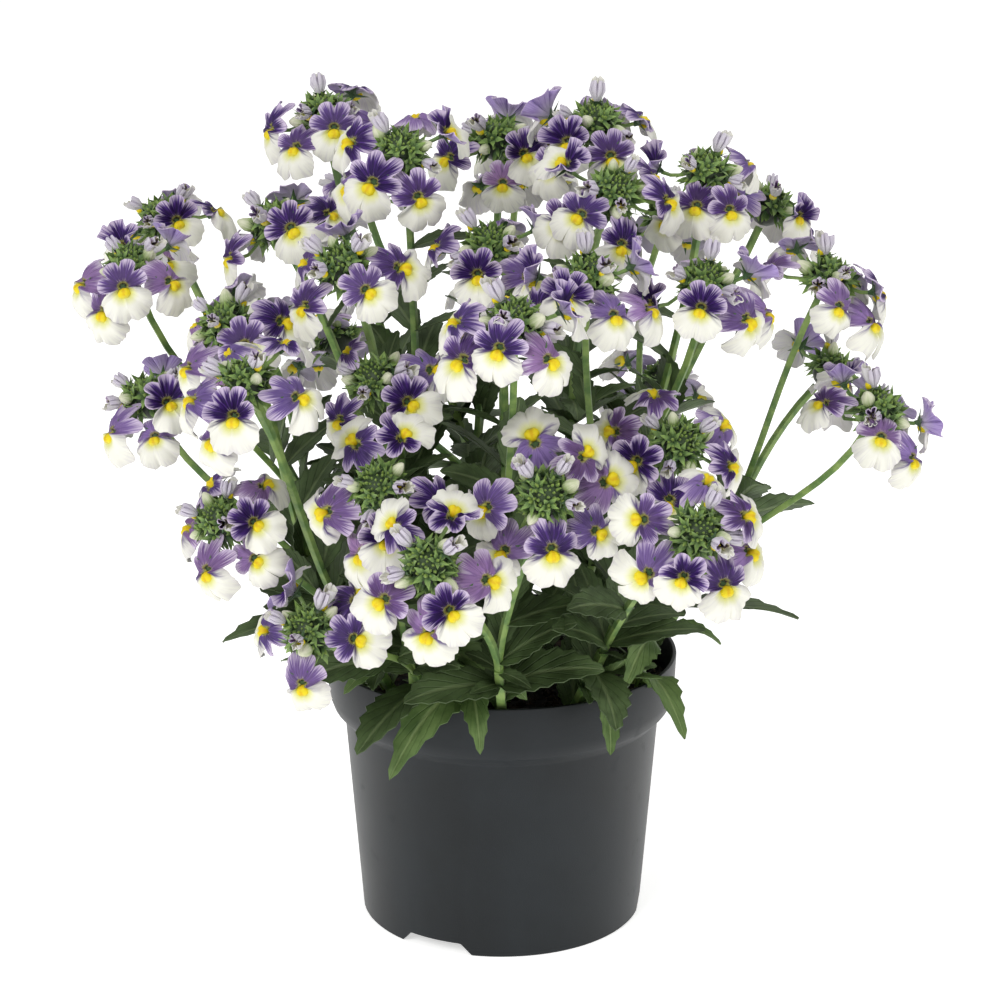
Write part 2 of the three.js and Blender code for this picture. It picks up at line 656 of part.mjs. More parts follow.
// A leaf: an arched, V-folded blade with toothed edges, from the middle of its stem to its tip
function leaf({ base, knee, tip, halfWidth, top, stations }, grown = 0) {
  const path = new THREE.QuadraticBezierCurve3(base, knee, tip);
  const swell = (t) => (t ** LEAF_SWELL * (1 - t) ** LEAF_TAPER) / LEAF_WIDEST;
  const width = (t) => swell(t) * halfWidth + grown;
  const frame = (t) => {
    const along = path.getTangent(t);
    const side = along.clone().cross(top).normalize();
    return { at: path.getPoint(t), side, up: side.clone().cross(along).normalize() };
  };
  const edge = ({ at, side, up }, reach, fold = LEAF_FOLD) => at.clone()
    .addScaledVector(side, reach)
    .addScaledVector(up, Math.abs(reach) * fold);
  const points = [base.clone()];
  stations.forEach((t, order) => {
    const [here, after] = [frame(t), frame(t + LEAF_NOTCH_AFTER)];
    const notch = width(t + LEAF_NOTCH_AFTER) * LEAF_NOTCH_DEPTH;
    const fold = order ? LEAF_FOLD : 0;
    points.push(edge(here, -width(t), fold));
    if (order) points.push(here.at.clone().addScaledVector(here.up, grown));
    points.push(edge(here, width(t), fold));
    points.push(here.at.clone().addScaledVector(here.up, -LEAF_THICKNESS - grown));
    if (t < stations.at(-1)) points.push(edge(after, -notch), edge(after, notch));
  });
  const tipPoint = points.push(path.getPoint(1).addScaledVector(path.getTangent(1), grown)) - 1;
  const faces = [[0, 1, 2], [1, 0, 3], [0, 2, 3]];
  let [left, mid, right, under] = [1, null, 2, 3];
  while (under + 3 < tipPoint) {
    const [leftNotch, rightNotch] = [under + 1, under + 2];
    const [left2, mid2, right2, under2] = [under + 3, under + 4, under + 5, under + 6];
    if (mid === null) {
      faces.push([left, leftNotch, right], [leftNotch, rightNotch, right]);
      faces.push([leftNotch, mid2, rightNotch]);
    } else {
      faces.push([left, leftNotch, mid], [leftNotch, mid2, mid]);
      faces.push([mid, mid2, rightNotch], [mid, rightNotch, right]);
    }
    faces.push([leftNotch, left2, mid2], [mid2, right2, rightNotch]);
    faces.push([leftNotch, left, under], [under2, leftNotch, under], [left2, leftNotch, under2]);
    faces.push([right, rightNotch, under], [rightNotch, under2, under], [rightNotch, right2, under2]);
    [left, mid, right, under] = [left2, mid2, right2, under2];
  }
  faces.push([left, tipPoint, mid], [mid, tipPoint, right]);
  faces.push([tipPoint, left, under], [right, tipPoint, under]);
  return solidOf(facets(points, faces));
}

// One leaf on a rod: side 1 and -1 face each other, and raised sets both square to the level
// direction of the rod
function pairedLeaf(path, { along, length, halfWidth }, side, raised) {
  const frame = frameOn(path, along);
  const across = (raised ? frame.upper : frame.level).clone().multiplyScalar(side);
  const climb = radians(LEAF_RISE);
  const out = across.multiplyScalar(Math.cos(climb)).addScaledVector(frame.along, Math.sin(climb));
  const base = path.getPoint(along).addScaledVector(out, -LEAF_FOOT_DEPTH);
  const knee = base.clone().addScaledVector(out, length * LEAF_KNEE);
  const tip = base.clone().addScaledVector(out, length);
  tip.z -= length * LEAF_DROOP;
  return { base, knee, tip, halfWidth, top: frame.along, stations: SMALL_LEAF_STATIONS };
}

// A listed leaf of a shoot
function listedLeaf(path, [along, knee, tip, halfWidth]) {
  const base = path.getPoint(along);
  base.addScaledVector(vector(knee).sub(base).normalize(), -LEAF_FOOT_DEPTH);
  const stations = LARGE_LEAF_STATIONS;
  return { base, knee: vector(knee), tip: vector(tip), halfWidth, top: UP, stations };
}

// A leaf's form turned about its base by one bend
function bent(form, [round, rise, share]) {
  const { base, top } = form;
  const side = form.tip.clone().sub(base).cross(top).normalize();
  const turn = (p) => p.clone().sub(base)
    .applyAxisAngle(side, radians(rise))
    .applyAxisAngle(top, radians(round))
    .multiplyScalar(share)
    .add(base);
  return { ...form, knee: turn(form.knee), tip: turn(form.tip), halfWidth: form.halfWidth * share };
}

// Adds a leaf to its stem under the first bend that keeps it clear of everything else
function growLeaf(form, name, solids) {
  for (const bend of LEAF_BENDS) {
    const leafForm = bent(form, bend);
    const solid = leaf(leafForm);
    const blade = leaf({ ...leafForm, base: mix(leafForm.base, leafForm.knee, LEAF_BLADE_FROM) });
    if (!isClear(solid, name, blade)) continue;
    solids.push(solid);
    keepFree(leaf(leafForm, CLEARANCE), name, blade);
    return;
  }
}

const pot = makePot();
keepFree(pot, 'pot');
const stems = STEMS.map((row, index) => new Stem(row, index));
const shoots = SHOOTS.map(({ root, tip, leaves }, index) => ({
  name: `shoot_${index + 1}`,
  path: new THREE.LineCurve3(new THREE.Vector3(root[0], root[1], ROOT_HEIGHT), vector(tip)),
  leaves,
}));
const soil = makeSoil([
  ...stems.map((stem) => stem.rods(FIT_GAP * Math.SQRT2, SEAT_GAP)[0]),
  ...shoots.map(({ path }) => shootHole(path)),
]);
keepFree(soil, 'soil');
stems.forEach((stem) => {
  stem.rods(CLEARANCE).forEach((solid) => keepFree(solid, stem.name, solid));
});
shoots.forEach(({ name, path }) => keepFree(rod(path, SHOOT_RADIUS + CLEARANCE, 1), name));
addNode('pot', pot, plastic);
addNode('soil', soil, peat);

const heads = stems.flatMap((stem) => stem.heads);
const headName = (index) => `head_${String(index + 1).padStart(2, '0')}`;
heads.forEach((head, index) => keepFree(head.rosette, headName(index)));
heads.forEach((head, index) => {
  const blooms = head.openBlooms(headName(index), index + 1);
  addNode(headName(index), join([head.rosette, ...blooms]), petalViolet);
});

shoots.forEach(({ name, path, leaves }) => {
  const solids = [rod(path, SHOOT_RADIUS, 1)];
  leaves.forEach((row) => growLeaf(listedLeaf(path, row), name, solids));
  addNode(name, join(solids), leafGreen);
});

stems.forEach((stem, index) => {
  const solids = stem.rods();
  [-1, 1].forEach((side) => {
    growLeaf(pairedLeaf(stem.trunk, TRUNK_LEAF, side, index % 2), stem.name, solids);
  });
  stem.branches.forEach((path, order) => {
    growLeaf(pairedLeaf(path, BRANCH_LEAF, 1, order % 2), stem.name, solids);
  });
  addNode(stem.name, join(solids), leafGreen);
});

export default nodes;
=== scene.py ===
"""The finished look of a potted triple crown nemesia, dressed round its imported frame."""

import logging
import math
from collections.abc import Callable, Iterable, Iterator, Sequence
from dataclasses import dataclass, field, replace
from enum import Enum, auto

import bpy
from mathutils import Matrix, Quaternion, Vector, kdtree, noise


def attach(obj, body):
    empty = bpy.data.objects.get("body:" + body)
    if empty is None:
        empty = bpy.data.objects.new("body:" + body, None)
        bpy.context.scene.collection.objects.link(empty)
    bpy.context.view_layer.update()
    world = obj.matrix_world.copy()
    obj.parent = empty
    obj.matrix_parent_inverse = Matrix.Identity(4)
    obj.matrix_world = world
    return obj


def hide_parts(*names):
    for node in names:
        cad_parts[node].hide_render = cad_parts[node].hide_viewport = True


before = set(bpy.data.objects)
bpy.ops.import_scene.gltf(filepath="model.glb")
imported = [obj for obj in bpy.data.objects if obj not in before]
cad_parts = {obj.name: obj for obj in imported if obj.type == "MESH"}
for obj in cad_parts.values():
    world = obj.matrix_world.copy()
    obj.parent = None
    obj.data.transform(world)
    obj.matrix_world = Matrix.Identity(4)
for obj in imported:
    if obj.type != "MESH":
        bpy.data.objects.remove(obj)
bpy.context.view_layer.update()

LOG = logging.getLogger("nemesia")
MM = 0.001
UP = Vector((0.0, 0.0, 1.0))
GOLDEN_ANGLE = 137.5
# Where the lip takes over from the side petals, as shares of a half turn from the top
LIP_BEGINS = (0.535, 0.56)
# A nearly square stem: how far its sides reach, over its radius, and its corners, over its sides
SQUARE_SIDE = 0.76
SQUARE_CORNER = 1.22

Material = bpy.types.Material
Piece = bpy.types.Object
Socket = bpy.types.NodeSocket
Value = float | Sequence[float] | Socket
Shape = Callable[[float, float], Vector]

# Each stem: where it leaves the soil, then its heads. A head has its middle, the lean of its
# axis, the heading of that lean, the side of its first bloom, and its number of open blooms.
STEMS = (
    ((-33, 13), ((-125, 42, 254, 22, 200, -60, 6), (-131, -10, 247, 20, 230, -95, 6),
                 (-98, 64, 212, 42, 147, 140, 4))),
    ((-38, -9), ((-125, -26, 203, 26, 200, -60, 6), (-94, -50, 235, 36, 225, -60, 6))),
    ((-31, -28), ((-95, -74, 172, 48, 220, -40, 6), (-83, -98, 227, 32, 235, -95, 6))),
    ((-18, -39), ((-64, -100, 142, 52, 240, -30, 5), (-40, -104, 193, 56, 255, -80, 6))),
    ((1, -44), ((-23, -136, 177, 58, 260, -70, 6), (14, -116, 194, 60, 272, -90, 7))),
    ((21, -39), ((62, -130, 186, 56, 290, -100, 7), (59, -80, 201, 50, 290, -150, 6))),
    ((2, -23), ((4, -112, 250, 22, 270, -105, 6), (-4, -40, 260, 24, 250, -110, 5))),
    ((-19, -15), ((-53, -64, 258, 36, 240, -60, 5), (-80, -8, 262, 28, 200, -70, 5),
                  (-42, -64, 219, 42, 240, -50, 4))),
    ((-12, 4), ((-64, 26, 295, 18, 240, -80, 6), (-35, -24, 290, 40, 262, -120, 6))),
    ((-5, 21), ((-2, 32, 285, 18, 260, -60, 6), (6, 86, 266, 32, 85, 90, 4),
                (-54, 86, 256, 34, 122, 120, 4))),
    ((13, -3), ((33, 4, 295, 20, 275, -120, 6), (38, -36, 278, 42, 290, -130, 6))),
    ((21, -19), ((29, -72, 256, 20, 280, -110, 6), (69, -54, 250, 20, 285, -100, 6))),
    ((28, 13), ((72, -4, 279, 22, 280, -110, 6), (99, 46, 258, 26, 20, -60, 5),
                (64, 92, 244, 38, 55, 60, 4))),
    ((42, -5), ((116, -6, 242, 26, 330, 0, 6), (133, -24, 198, 28, 335, 0, 7),
                (124, 44, 196, 46, 15, 0, 4))),
    ((2, 41), ((-66, 112, 192, 50, 120, 120, 4), (0, 130, 202, 48, 90, 90, 4),
               (64, 116, 172, 54, 60, 60, 4))),
)

# Each shoot: its root, its tip, then its leaves as share up the shoot, knee, tip and half width
SHOOTS = (
    ((-9, -49), (-12, -58, 110), (
        (0.9, (-24, -70, 111), (-39, -83, 82), 7.6), (0.9, (-2, -70, 111), (4, -80, 92), 5),
        (0.6, (-24, -58, 104), (-40, -66, 104), 5), (1, (-16, -64, 118), (-20, -74, 122), 3.6))),
    ((-31, -40), (-33, -55, 128), (
        (0.8, (-14, -70, 124), (0, -80, 104), 6.5), (0.8, (-36, -68, 124), (-46, -76, 108), 5.5),
        (1, (-18, -70, 132), (-16, -80, 124), 4.5), (1, (-32, -60, 134), (-42, -62, 134), 4.5))),
    ((38, -40), (37, -49, 108), (
        (0.9, (28, -68, 106), (24, -77, 90), 5.5), (0.9, (42, -60, 112), (56, -62, 112), 5),
        (0.9, (20, -60, 112), (10, -64, 112), 4), (1, (32, -64, 116), (34, -70, 122), 3.4))),
    ((45, -29), (55, -41, 124), (
        (0.45, (56, -56, 110), (62, -66, 78), 7.2), (0.9, (50, -56, 126), (43, -68, 111), 6),
        (0.9, (68, -44, 128), (78, -44, 118), 5.5), (1, (62, -34, 134), (72, -28, 138), 5))),
    ((-44, -24), (-56, -40, 122), (
        (0.9, (-66, -52, 126), (-74, -60, 112), 6), (0.9, (-52, -56, 122), (-46, -68, 104), 5.5),
        (1, (-66, -34, 130), (-78, -30, 126), 5), (0.6, (-66, -30, 110), (-80, -28, 106), 5))),
)

# Half of a bloom's edge in the frame: degrees from the top, distance from the throat, height
BLOOM_EDGE = ((0, 6.2, -0.4), (14, 10, -1.2), (32, 9.6, -1), (46, 5.4, 0), (68, 9.4, 0.2),
              (98, 3.8, 0.8), (113, 9.6, 0.8), (144, 13.8, 1.6), (180, 13.2, 2.4))

# Ways in which a bloom may stand: degrees round the head, mm outwards and along the axis,
# degrees of tilt, share of full size
BLOOM_BENDS = (
    (0, 0, 0, 0, 1), (10, 0, 0, 0, 1), (-10, 0, 0, 0, 1), (0, -1, 3, 8, 1), (0, 0, -4, -8, 1),
    (18, -1, 1, 0, 1), (-18, -1, 1, 0, 1), (12, -2, 4, 14, 0.95), (-12, -2, 4, 14, 0.95),
    (14, -1, -5, -10, 0.95), (-14, -1, -5, -10, 0.95), (0, -3, 5, 22, 0.9), (24, -2, 2, 6, 0.9),
    (-24, -2, 2, 6, 0.9), (8, -4, 2, 12, 0.85), (-8, -4, -3, 2, 0.85),
)

# Ways in which a leaf may stand: degrees round its stem, degrees of rise, share of its length
LEAF_BENDS = (
    (0, 0, 1), (25, 0, 1), (-25, 0, 1), (0, 22, 1), (0, -26, 1), (50, 0, 0.9), (-50, 0, 0.9),
    (25, 24, 0.85), (-25, 24, 0.85), (25, -30, 0.8), (-25, -30, 0.8), (0, 40, 0.75),
    (75, 10, 0.7), (-75, 10, 0.7),
)


class Draws:
    """A repeatable row of draws, the same for one seed as in the part's source."""

    def __init__(self, seed: int) -> None:
        """Starts the row that grows from one number."""
        self.state = seed * 7919 + 13
        self.share()

    def share(self) -> float:
        """Returns the next draw between 0 and 1."""
        self.state = self.state * 16807 % 2147483647
        return self.state / 2147483647

    def between(self, low: float, high: float) -> float:
        """Returns the next draw between two values."""
        return low + (high - low) * self.share()


class Curve:
    """A Bezier curve through space, in millimetres."""

    def __init__(self, *controls: Vector) -> None:
        """Keeps the curve's control points, from its start to its end."""
        self.controls = controls

    def drawn(self, share: float, left: int) -> list[Vector]:
        """Draws the control points together at one share of the curve.

        Args:
            share: how far along the curve.
            left: how many points are left.

        Returns:
            The points that are left.
        """
        points = list(self.controls)
        while len(points) > left:
            points = [a.lerp(b, share) for a, b in zip(points, points[1:])]
        return points

    def point(self, share: float) -> Vector:
        """Returns the point at one share of the curve."""
        return self.drawn(share, 1)[0]

    def tangent(self, share: float) -> Vector:
        """Returns the curve's direction at one share of it."""
        before, after = self.drawn(share, 2)
        return (after - before).normalized()

    def square(self, share: float) -> tuple[Vector, Vector, Vector]:
        """Finds the directions that a square rod turns its sides to.

        Args:
            share: how far along the curve.

        Returns:
            The directions along the curve, level across its whole run, and square to both.
        """
        along = self.tangent(share)
        level = (self.controls[-1] - self.controls[0]).cross(UP).normalized()
        level = (level - along * level.dot(along)).normalized()
        return along, level, level.cross(along)


def linear(code: str) -> tuple[float, ...]:
    """Returns a colour of six hex digits as linear red, green and blue, with an alpha of 1."""
    channels = [int(code[i:i + 2], 16) / 255 for i in (0, 2, 4)]
    return (*(c / 12.92 if c <= 0.04045 else ((c + 0.055) / 1.055) ** 2.4 for c in channels), 1.0)


class Workshop:
    """Blender's modelling tools as the makers of pieces use them."""

    def __init__(self) -> None:
        """Starts with no models on the bench."""
        self.models: list[Piece] = []

    @staticmethod
    def deselect() -> None:
        """Deselects every object."""
        bpy.ops.object.select_all(action="DESELECT")

    def sheet(
        self,
        name: str,
        columns: int,
        rows: int,
        shape: Shape,
        form: Shape | None = None,
        facing: Vector | None = None,
    ) -> Piece:
        """Makes a grid, moves its points into shape and closes its seam and poles.

        Args:
            name: the object's name.
            columns: faces across the grid.
            rows: faces along the grid.
            shape: gives a point's place from its shares across and along the grid.
            form: gives what a finish reads of a point, from the same shares.
            facing: the side that an open sheet faces. A closed one faces out.

        Returns:
            The shaped object, in millimetres.
        """
        self.deselect()
        bpy.ops.mesh.primitive_grid_add(x_subdivisions=columns, y_subdivisions=rows, size=1.0)
        piece = bpy.context.object
        piece.name = name
        mesh = piece.data
        shares = [(vertex.co.x + 0.5, vertex.co.y + 0.5) for vertex in mesh.vertices]
        for vertex, share in zip(mesh.vertices, shares):
            vertex.co = shape(*share)
        if form:
            self.note(piece, "form", [form(*share) for share in shares])
        bpy.ops.object.mode_set(mode="EDIT")
        bpy.ops.mesh.select_all(action="SELECT")
        bpy.ops.mesh.remove_doubles(threshold=0.001)
        bpy.ops.mesh.normals_make_consistent(inside=False)
        bpy.ops.object.mode_set(mode="OBJECT")
        if facing is not None:
            mean = sum((face.normal * face.area for face in mesh.polygons), Vector())
            if mean.dot(facing) < 0:
                bpy.ops.object.mode_set(mode="EDIT")
                bpy.ops.mesh.flip_normals()
                bpy.ops.object.mode_set(mode="OBJECT")
        return piece

    def tube(
        self,
        name: str,
        path: Curve,
        radius: Callable[[float], float],
        sides: int,
        steps: int,
        corner: float = 1.0,
    ) -> Piece:
        """Makes a closed tube along a curve.

        Args:
            name: the object's name.
            path: the curve it follows.
            radius: gives its radius at one share of the curve.
            sides: points round it.
            steps: rings along it, less one.
            corner: how much further out every second point stands than the others.

        Returns:
            The tube, in millimetres.
        """
        rows = steps + 2

        def shape(u: float, v: float) -> Vector:
            """Finds the place of one point of the tube's grid.

            Args:
                u: its share round the tube.
                v: its share along the tube.

            Returns:
                Its place.
            """
            row = round(v * rows)
            share = min(max((row - 1) / steps, 0.0), 1.0)
            at = path.point(share)
            if row in (0, rows):
                return at
            side = round(u * sides) % sides
            turn = 2 * math.pi * side / sides
            reach = radius(share) * (corner if side % 2 else 1.0)
            _, level, upper = path.square(share)
            return at + level * reach * math.cos(turn) + upper * reach * math.sin(turn)

        return self.sheet(name, sides, rows, shape)

    @staticmethod
    def note(piece: Piece, name: str, values: Iterable[Sequence[float]]) -> None:
        """Keeps three numbers for each point of a piece, for its finish to read.

        Args:
            piece: the object.
            name: the attribute's name.
            values: three numbers for each vertex.
        """
        layer = piece.data.attributes.get(name)
        if layer is None:
            layer = piece.data.attributes.new(name, "FLOAT_VECTOR", "POINT")
        layer.data.foreach_set("vector", [number for value in values for number in value])

    def keep_places(self, piece: Piece) -> None:
        """Keeps each point's place in the model, in millimetres, as the attribute flat."""
        self.note(piece, "flat", [vertex.co for vertex in piece.data.vertices])

    def tinted(self, piece: Piece, tint: Sequence[float]) -> Piece:
        """Keeps the same three numbers for every point of a piece and returns the piece."""
        self.note(piece, "tint", [tint] * len(piece.data.vertices))
        return piece

    @staticmethod
    def modify(piece: Piece, kind: str, **settings: object) -> None:
        """Adds a modifier to a piece and applies it.

        Args:
            piece: the object.
            kind: the modifier's type.
            settings: the modifier's values.
        """
        modifier = piece.modifiers.new(kind.title(), kind)
        for key, value in settings.items():
            setattr(modifier, key, value)
        with bpy.context.temp_override(object=piece, active_object=piece):
            bpy.ops.object.modifier_apply(modifier=modifier.name)

    def smooth(self, piece: Piece, angle: float) -> None:
        """Smooths a piece's shading.

        Args:
            piece: the object.
            angle: the degrees between two faces up to which their edge is smoothed.
        """
        self.deselect()
        piece.select_set(True)
        bpy.context.view_layer.objects.active = piece
        bpy.ops.object.shade_smooth_by_angle(angle=math.radians(angle))

    def join(self, name: str, parts: Sequence[Piece]) -> Piece:
        """Joins objects into one.

        Args:
            name: the joined object's name.
            parts: the objects, the first of which is kept.

        Returns:
            The joined object.
        """
        self.deselect()
        for part in parts:
            part.select_set(True)
        bpy.context.view_layer.objects.active = parts[0]
        if len(parts) > 1:
            bpy.ops.object.join()
        parts[0].name = parts[0].data.name = name
        return parts[0]

    def keep_model(self, model: Piece) -> Piece:
        """Puts a model on the bench, to be copied and cleared away at the end."""
        self.models.append(model)
        return model

    def copy(
        self, model: Piece, matrix: Matrix, tint: Sequence[float] | None = None
    ) -> Piece:
        """Copies a model with a mesh of its own.

        Args:
            model: the object to copy.
            matrix: where the copy goes.
            tint: three numbers that its finish reads.

        Returns:
            The copy.
        """
        piece = model.copy()
        piece.data = model.data.copy()
        piece.data.transform(matrix)
        bpy.context.scene.collection.objects.link(piece)
        return self.tinted(piece, tint) if tint else piece

    def hand_over(
        self, name: str, parts: Sequence[Piece], slot: str, *nodes: str
    ) -> Piece:
        """Joins parts made in millimetres into one piece of the object, in metres.

        Args:
            name: the piece's name.
            parts: its parts.
            slot: not used.
            nodes: the CAD nodes that it stands for.

        Returns:
            The piece.
        """
        piece = self.join(name, parts)
        piece.data.transform(Matrix.Scale(MM, 4))
        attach(piece, "root")
        if nodes:
            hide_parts(*nodes)
        LOG.info("%s: %d faces", name, len(piece.data.polygons))
        return piece

    def clear_bench(self) -> None:
        """Removes the models that were only there to be copied."""
        for model in self.models:
            bpy.data.objects.remove(model)
        self.models.clear()


class Graph:
    """A builder of one material's nodes."""

    def __init__(self, name: str) -> None:
        """Starts a material.

        Args:
            name: the material's name.
        """
        self.material = bpy.data.materials.new(name)
        self.material.use_nodes = True
        self.tree = self.material.node_tree
        self.shader = self.tree.nodes["Principled BSDF"]

    def node(self, kind: str, inputs: dict[int | str, Value], **settings: object) -> bpy.types.Node:
        """Adds a node.

        Args:
            kind: the node's type, without its prefix.
            inputs: a socket or a value for each input that isn't left as it is.
            settings: the node's own values.

        Returns:
            The node.
        """
        node = self.tree.nodes.new("ShaderNode" + kind)
        for key, value in settings.items():
            setattr(node, key, value)
        for key, value in inputs.items():
            self.feed(node.inputs[key], value)
        return node

    def feed(self, socket: Socket, value: Value) -> None:
        """Links a socket to an input, or sets the input's value.

        Args:
            socket: the input.
            value: what it takes.
        """
        if isinstance(value, Socket):
            self.tree.links.new(value, socket)
        else:
            socket.default_value = value

    def maths(self, operation: str, first: Value, second: Value = 0.0) -> Socket:
        """Returns the result of one sum on two values."""
        return self.node("Math", {0: first, 1: second}, operation=operation).outputs[0]

    def plus(self, first: Value, second: Value) -> Socket:
        """Returns two values added."""
        return self.maths("ADD", first, second)

    def times(self, first: Value, second: Value) -> Socket:
        """Returns two values multiplied."""
        return self.maths("MULTIPLY", first, second)

    def swing(self, cloud: Value, reach: float) -> Socket:
        """Returns noise between 0 and 1 as a swing about 0, of a reach from low to high."""
        return self.times(self.maths("SUBTRACT", cloud, 0.5), reach)

    def fade(self, value: Value, low: float, high: float) -> Socket:
        """Returns 0 below low and 1 above high, with a soft step between."""
        inputs = {0: value, 1: low, 2: high}
        return self.node("MapRange", inputs, interpolation_type="SMOOTHSTEP").outputs[0]

    def drop(self, value: Value, low: float, high: float) -> Socket:
        """Returns 1 below low and 0 above high, with a soft step between."""
        return self.maths("SUBTRACT", 1.0, self.fade(value, low, high))

    def mix(self, share: Value, first: Value, second: Value) -> Socket:
        """Returns two colours mixed, a share of the second in the first."""
        node = self.node("Mix", {0: share, 6: first, 7: second}, data_type="RGBA")
        return node.outputs[2]

    def lay(self, colour: Value, code: str, cover: Value, most: float) -> Socket:
        """Returns a colour with another laid over it, at most a share, where a cover lets it."""
        return self.mix(self.times(cover, most), colour, linear(code))

    def vector(self, x: Value, y: Value, z: Value) -> Socket:
        """Returns a vector of three values."""
        return self.node("CombineXYZ", {0: x, 1: y, 2: z}).outputs[0]

    def attribute(self, name: str) -> tuple[Socket, ...]:
        """Returns the three numbers that an attribute keeps at each point."""
        source = self.node("Attribute", {}, attribute_name=name).outputs["Vector"]
        return tuple(self.node("SeparateXYZ", {0: source}).outputs)

    def place(self) -> Socket:
        """Returns the point's place in the object."""
        return self.node("TexCoord", {}).outputs["Object"]

    def noise(self, place: Value, scale: float, detail: float = 2.0) -> Socket:
        """Returns cloudy noise between 0 and 1 at a place."""
        inputs = {"Vector": place, "Scale": scale, "Detail": detail}
        return self.node("TexNoise", inputs).outputs[0]

    def bump(self, height: Value, strength: float, depth: float) -> None:
        """Roughens the surface by a height, at a strength and a depth in metres."""
        node = self.node("Bump", {"Height": height, "Strength": strength, "Distance": depth})
        self.feed(self.shader.inputs["Normal"], node.outputs[0])

    def finish(self, colour: Value, roughness: Value, **constants: float) -> Material:
        """Feeds the shader.

        Args:
            colour: the base colour.
            roughness: the roughness.
            constants: other inputs of the shader, with underscores for spaces.

        Returns:
            The material.
        """
        self.feed(self.shader.inputs["Base Color"], colour)
        self.feed(self.shader.inputs["Roughness"], roughness)
        for key, value in constants.items():
            self.shader.inputs[key.replace("_", " ")].default_value = value
        return self.material


@dataclass(frozen=True)
class PetalFace:
    """The face of a bloom: streaked violet upper petals over a cream lip."""

    deep: str = "230a46"
    middle: str = "583090"
    faded: str = "937cbc"
    pink: str = "a883b2"
    margin: str = "dccde2"
    cream: str = "d9cfae"
    lip: str = "ebeadf"
    # Painted grey shade on the lip, towards its edge
    shade: str = "c0bac4"
    glow: str = "d3d552"
    # Painted shade where the throat opens into the tube
    throat: str = "2a1826"
    ring: str = "a3a238"
    roughness: float = 0.65

    def make(self) -> Material:
        """Builds the material.

        Returns:
            The material.
        """
        g = Graph("petal_face")
        edge, turn, _ = g.attribute("form")
        x, y, _ = g.attribute("flat")
        age, hue, seed = g.attribute("tint")
        shift = g.times(seed, 40.0)
        spoke = g.plus(g.times(turn, 30.0), g.times(x, 0.06))
        broad = g.noise(g.vector(spoke, g.times(edge, 1.3), shift), 1.0, 3.0)
        hair = g.noise(g.vector(g.times(spoke, 1.9), g.times(edge, 1.1), shift), 1.0, 2.0)
        reach = g.plus(edge, g.swing(broad, 1.2))

        # The upper petals: streaked, paler with age, with a pale margin and a cream foot
        violet = g.mix(g.fade(reach, 0.5, 1.15), linear(self.deep), linear(self.middle))
        violet = g.lay(violet, self.middle, g.fade(hair, 0.5, 0.66), 0.6)
        tired = g.mix(hue, linear(self.faded), linear(self.pink))
        violet = g.mix(g.times(g.fade(age, 0.3, 1.0), 0.85), violet, tired)
        violet = g.lay(violet, self.deep, g.fade(broad, 0.48, 0.64), 0.3)
        rim = g.plus(edge, g.swing(hair, 0.9))
        violet = g.lay(violet, self.margin, g.fade(rim, 0.68, 1.05), 0.85)
        streak = g.times(g.drop(edge, 0.2, 0.38), g.fade(hair, 0.5, 0.6))
        violet = g.lay(violet, self.cream, streak, 0.6)

        # The lip: yellow near the throat, with painted grey shade and faint streaks towards its edge
        white = g.mix(g.times(g.drop(edge, 0.25, 0.6), 0.85), linear(self.lip), linear(self.glow))
        white = g.lay(white, self.shade, g.fade(reach, 0.75, 1.3), 0.6)
        white = g.lay(white, self.faded, g.fade(hair, 0.56, 0.7), 0.08)

        # The blotches at the lip's upper corners, on some blooms
        corner = g.times(g.drop(turn, 0.6, 0.7), g.fade(edge, 0.12, 0.3))
        corner = g.times(corner, g.drop(reach, 0.5, 1.0))
        corner = g.times(corner, g.fade(g.plus(seed, g.times(broad, 0.4)), 0.3, 0.7))
        blotch = g.mix(g.times(age, 0.4), linear(self.deep), linear(self.faded))
        white = g.mix(corner, white, blotch)
        colour = g.mix(g.fade(turn, *LIP_BEGINS), violet, white)

        # The throat: a dark spot of painted shade where the tube opens, in a yellowish ring
        across = g.maths("POWER", g.times(x, 0.8), 2.0)
        height = g.maths("POWER", g.maths("SUBTRACT", y, 0.7), 2.0)
        hole = g.maths("SQRT", g.plus(across, height))
        colour = g.lay(colour, self.ring, g.drop(hole, 1.3, 1.9), 0.7)
        colour = g.lay(colour, self.throat, g.drop(hole, 0.8, 1.3), 0.95)
        g.bump(g.times(hair, g.drop(turn, 0.52, 0.6)), 0.6, 0.0006)
        return g.finish(colour, self.roughness, Specular_IOR_Level=0.3)


@dataclass(frozen=True)
class PetalBack:
    """The back of a bloom: veined lavender, paler behind the lip."""

    petal: str = "b09bd0"
    lip: str = "d8d5d6"
    vein: str = "8266ae"
    roughness: float = 0.7

    def make(self) -> Material:
        """Builds the material.

        Returns:
            The material.
        """
        g = Graph("petal_back")
        edge, turn, _ = g.attribute("form")
        age, _, seed = g.attribute("tint")
        spoke = g.vector(g.times(turn, 60.0), g.times(edge, 1.1), g.times(seed, 40.0))
        vein = g.noise(spoke, 1.0, 2.0)
        petal = g.lay(linear(self.petal), self.vein, g.fade(vein, 0.46, 0.66), 0.7)
        petal = g.lay(petal, self.lip, g.drop(edge, 0.2, 0.8), 0.45)
        lip = g.lay(linear(self.lip), self.petal, g.fade(vein, 0.5, 0.68), 0.4)
        colour = g.mix(g.fade(turn, *LIP_BEGINS), petal, lip)
        colour = g.lay(colour, self.lip, g.fade(age, 0.2, 1.1), 0.75)
        g.bump(vein, 0.4, 0.0005)
        return g.finish(colour, self.roughness, Sheen_Weight=0.1)


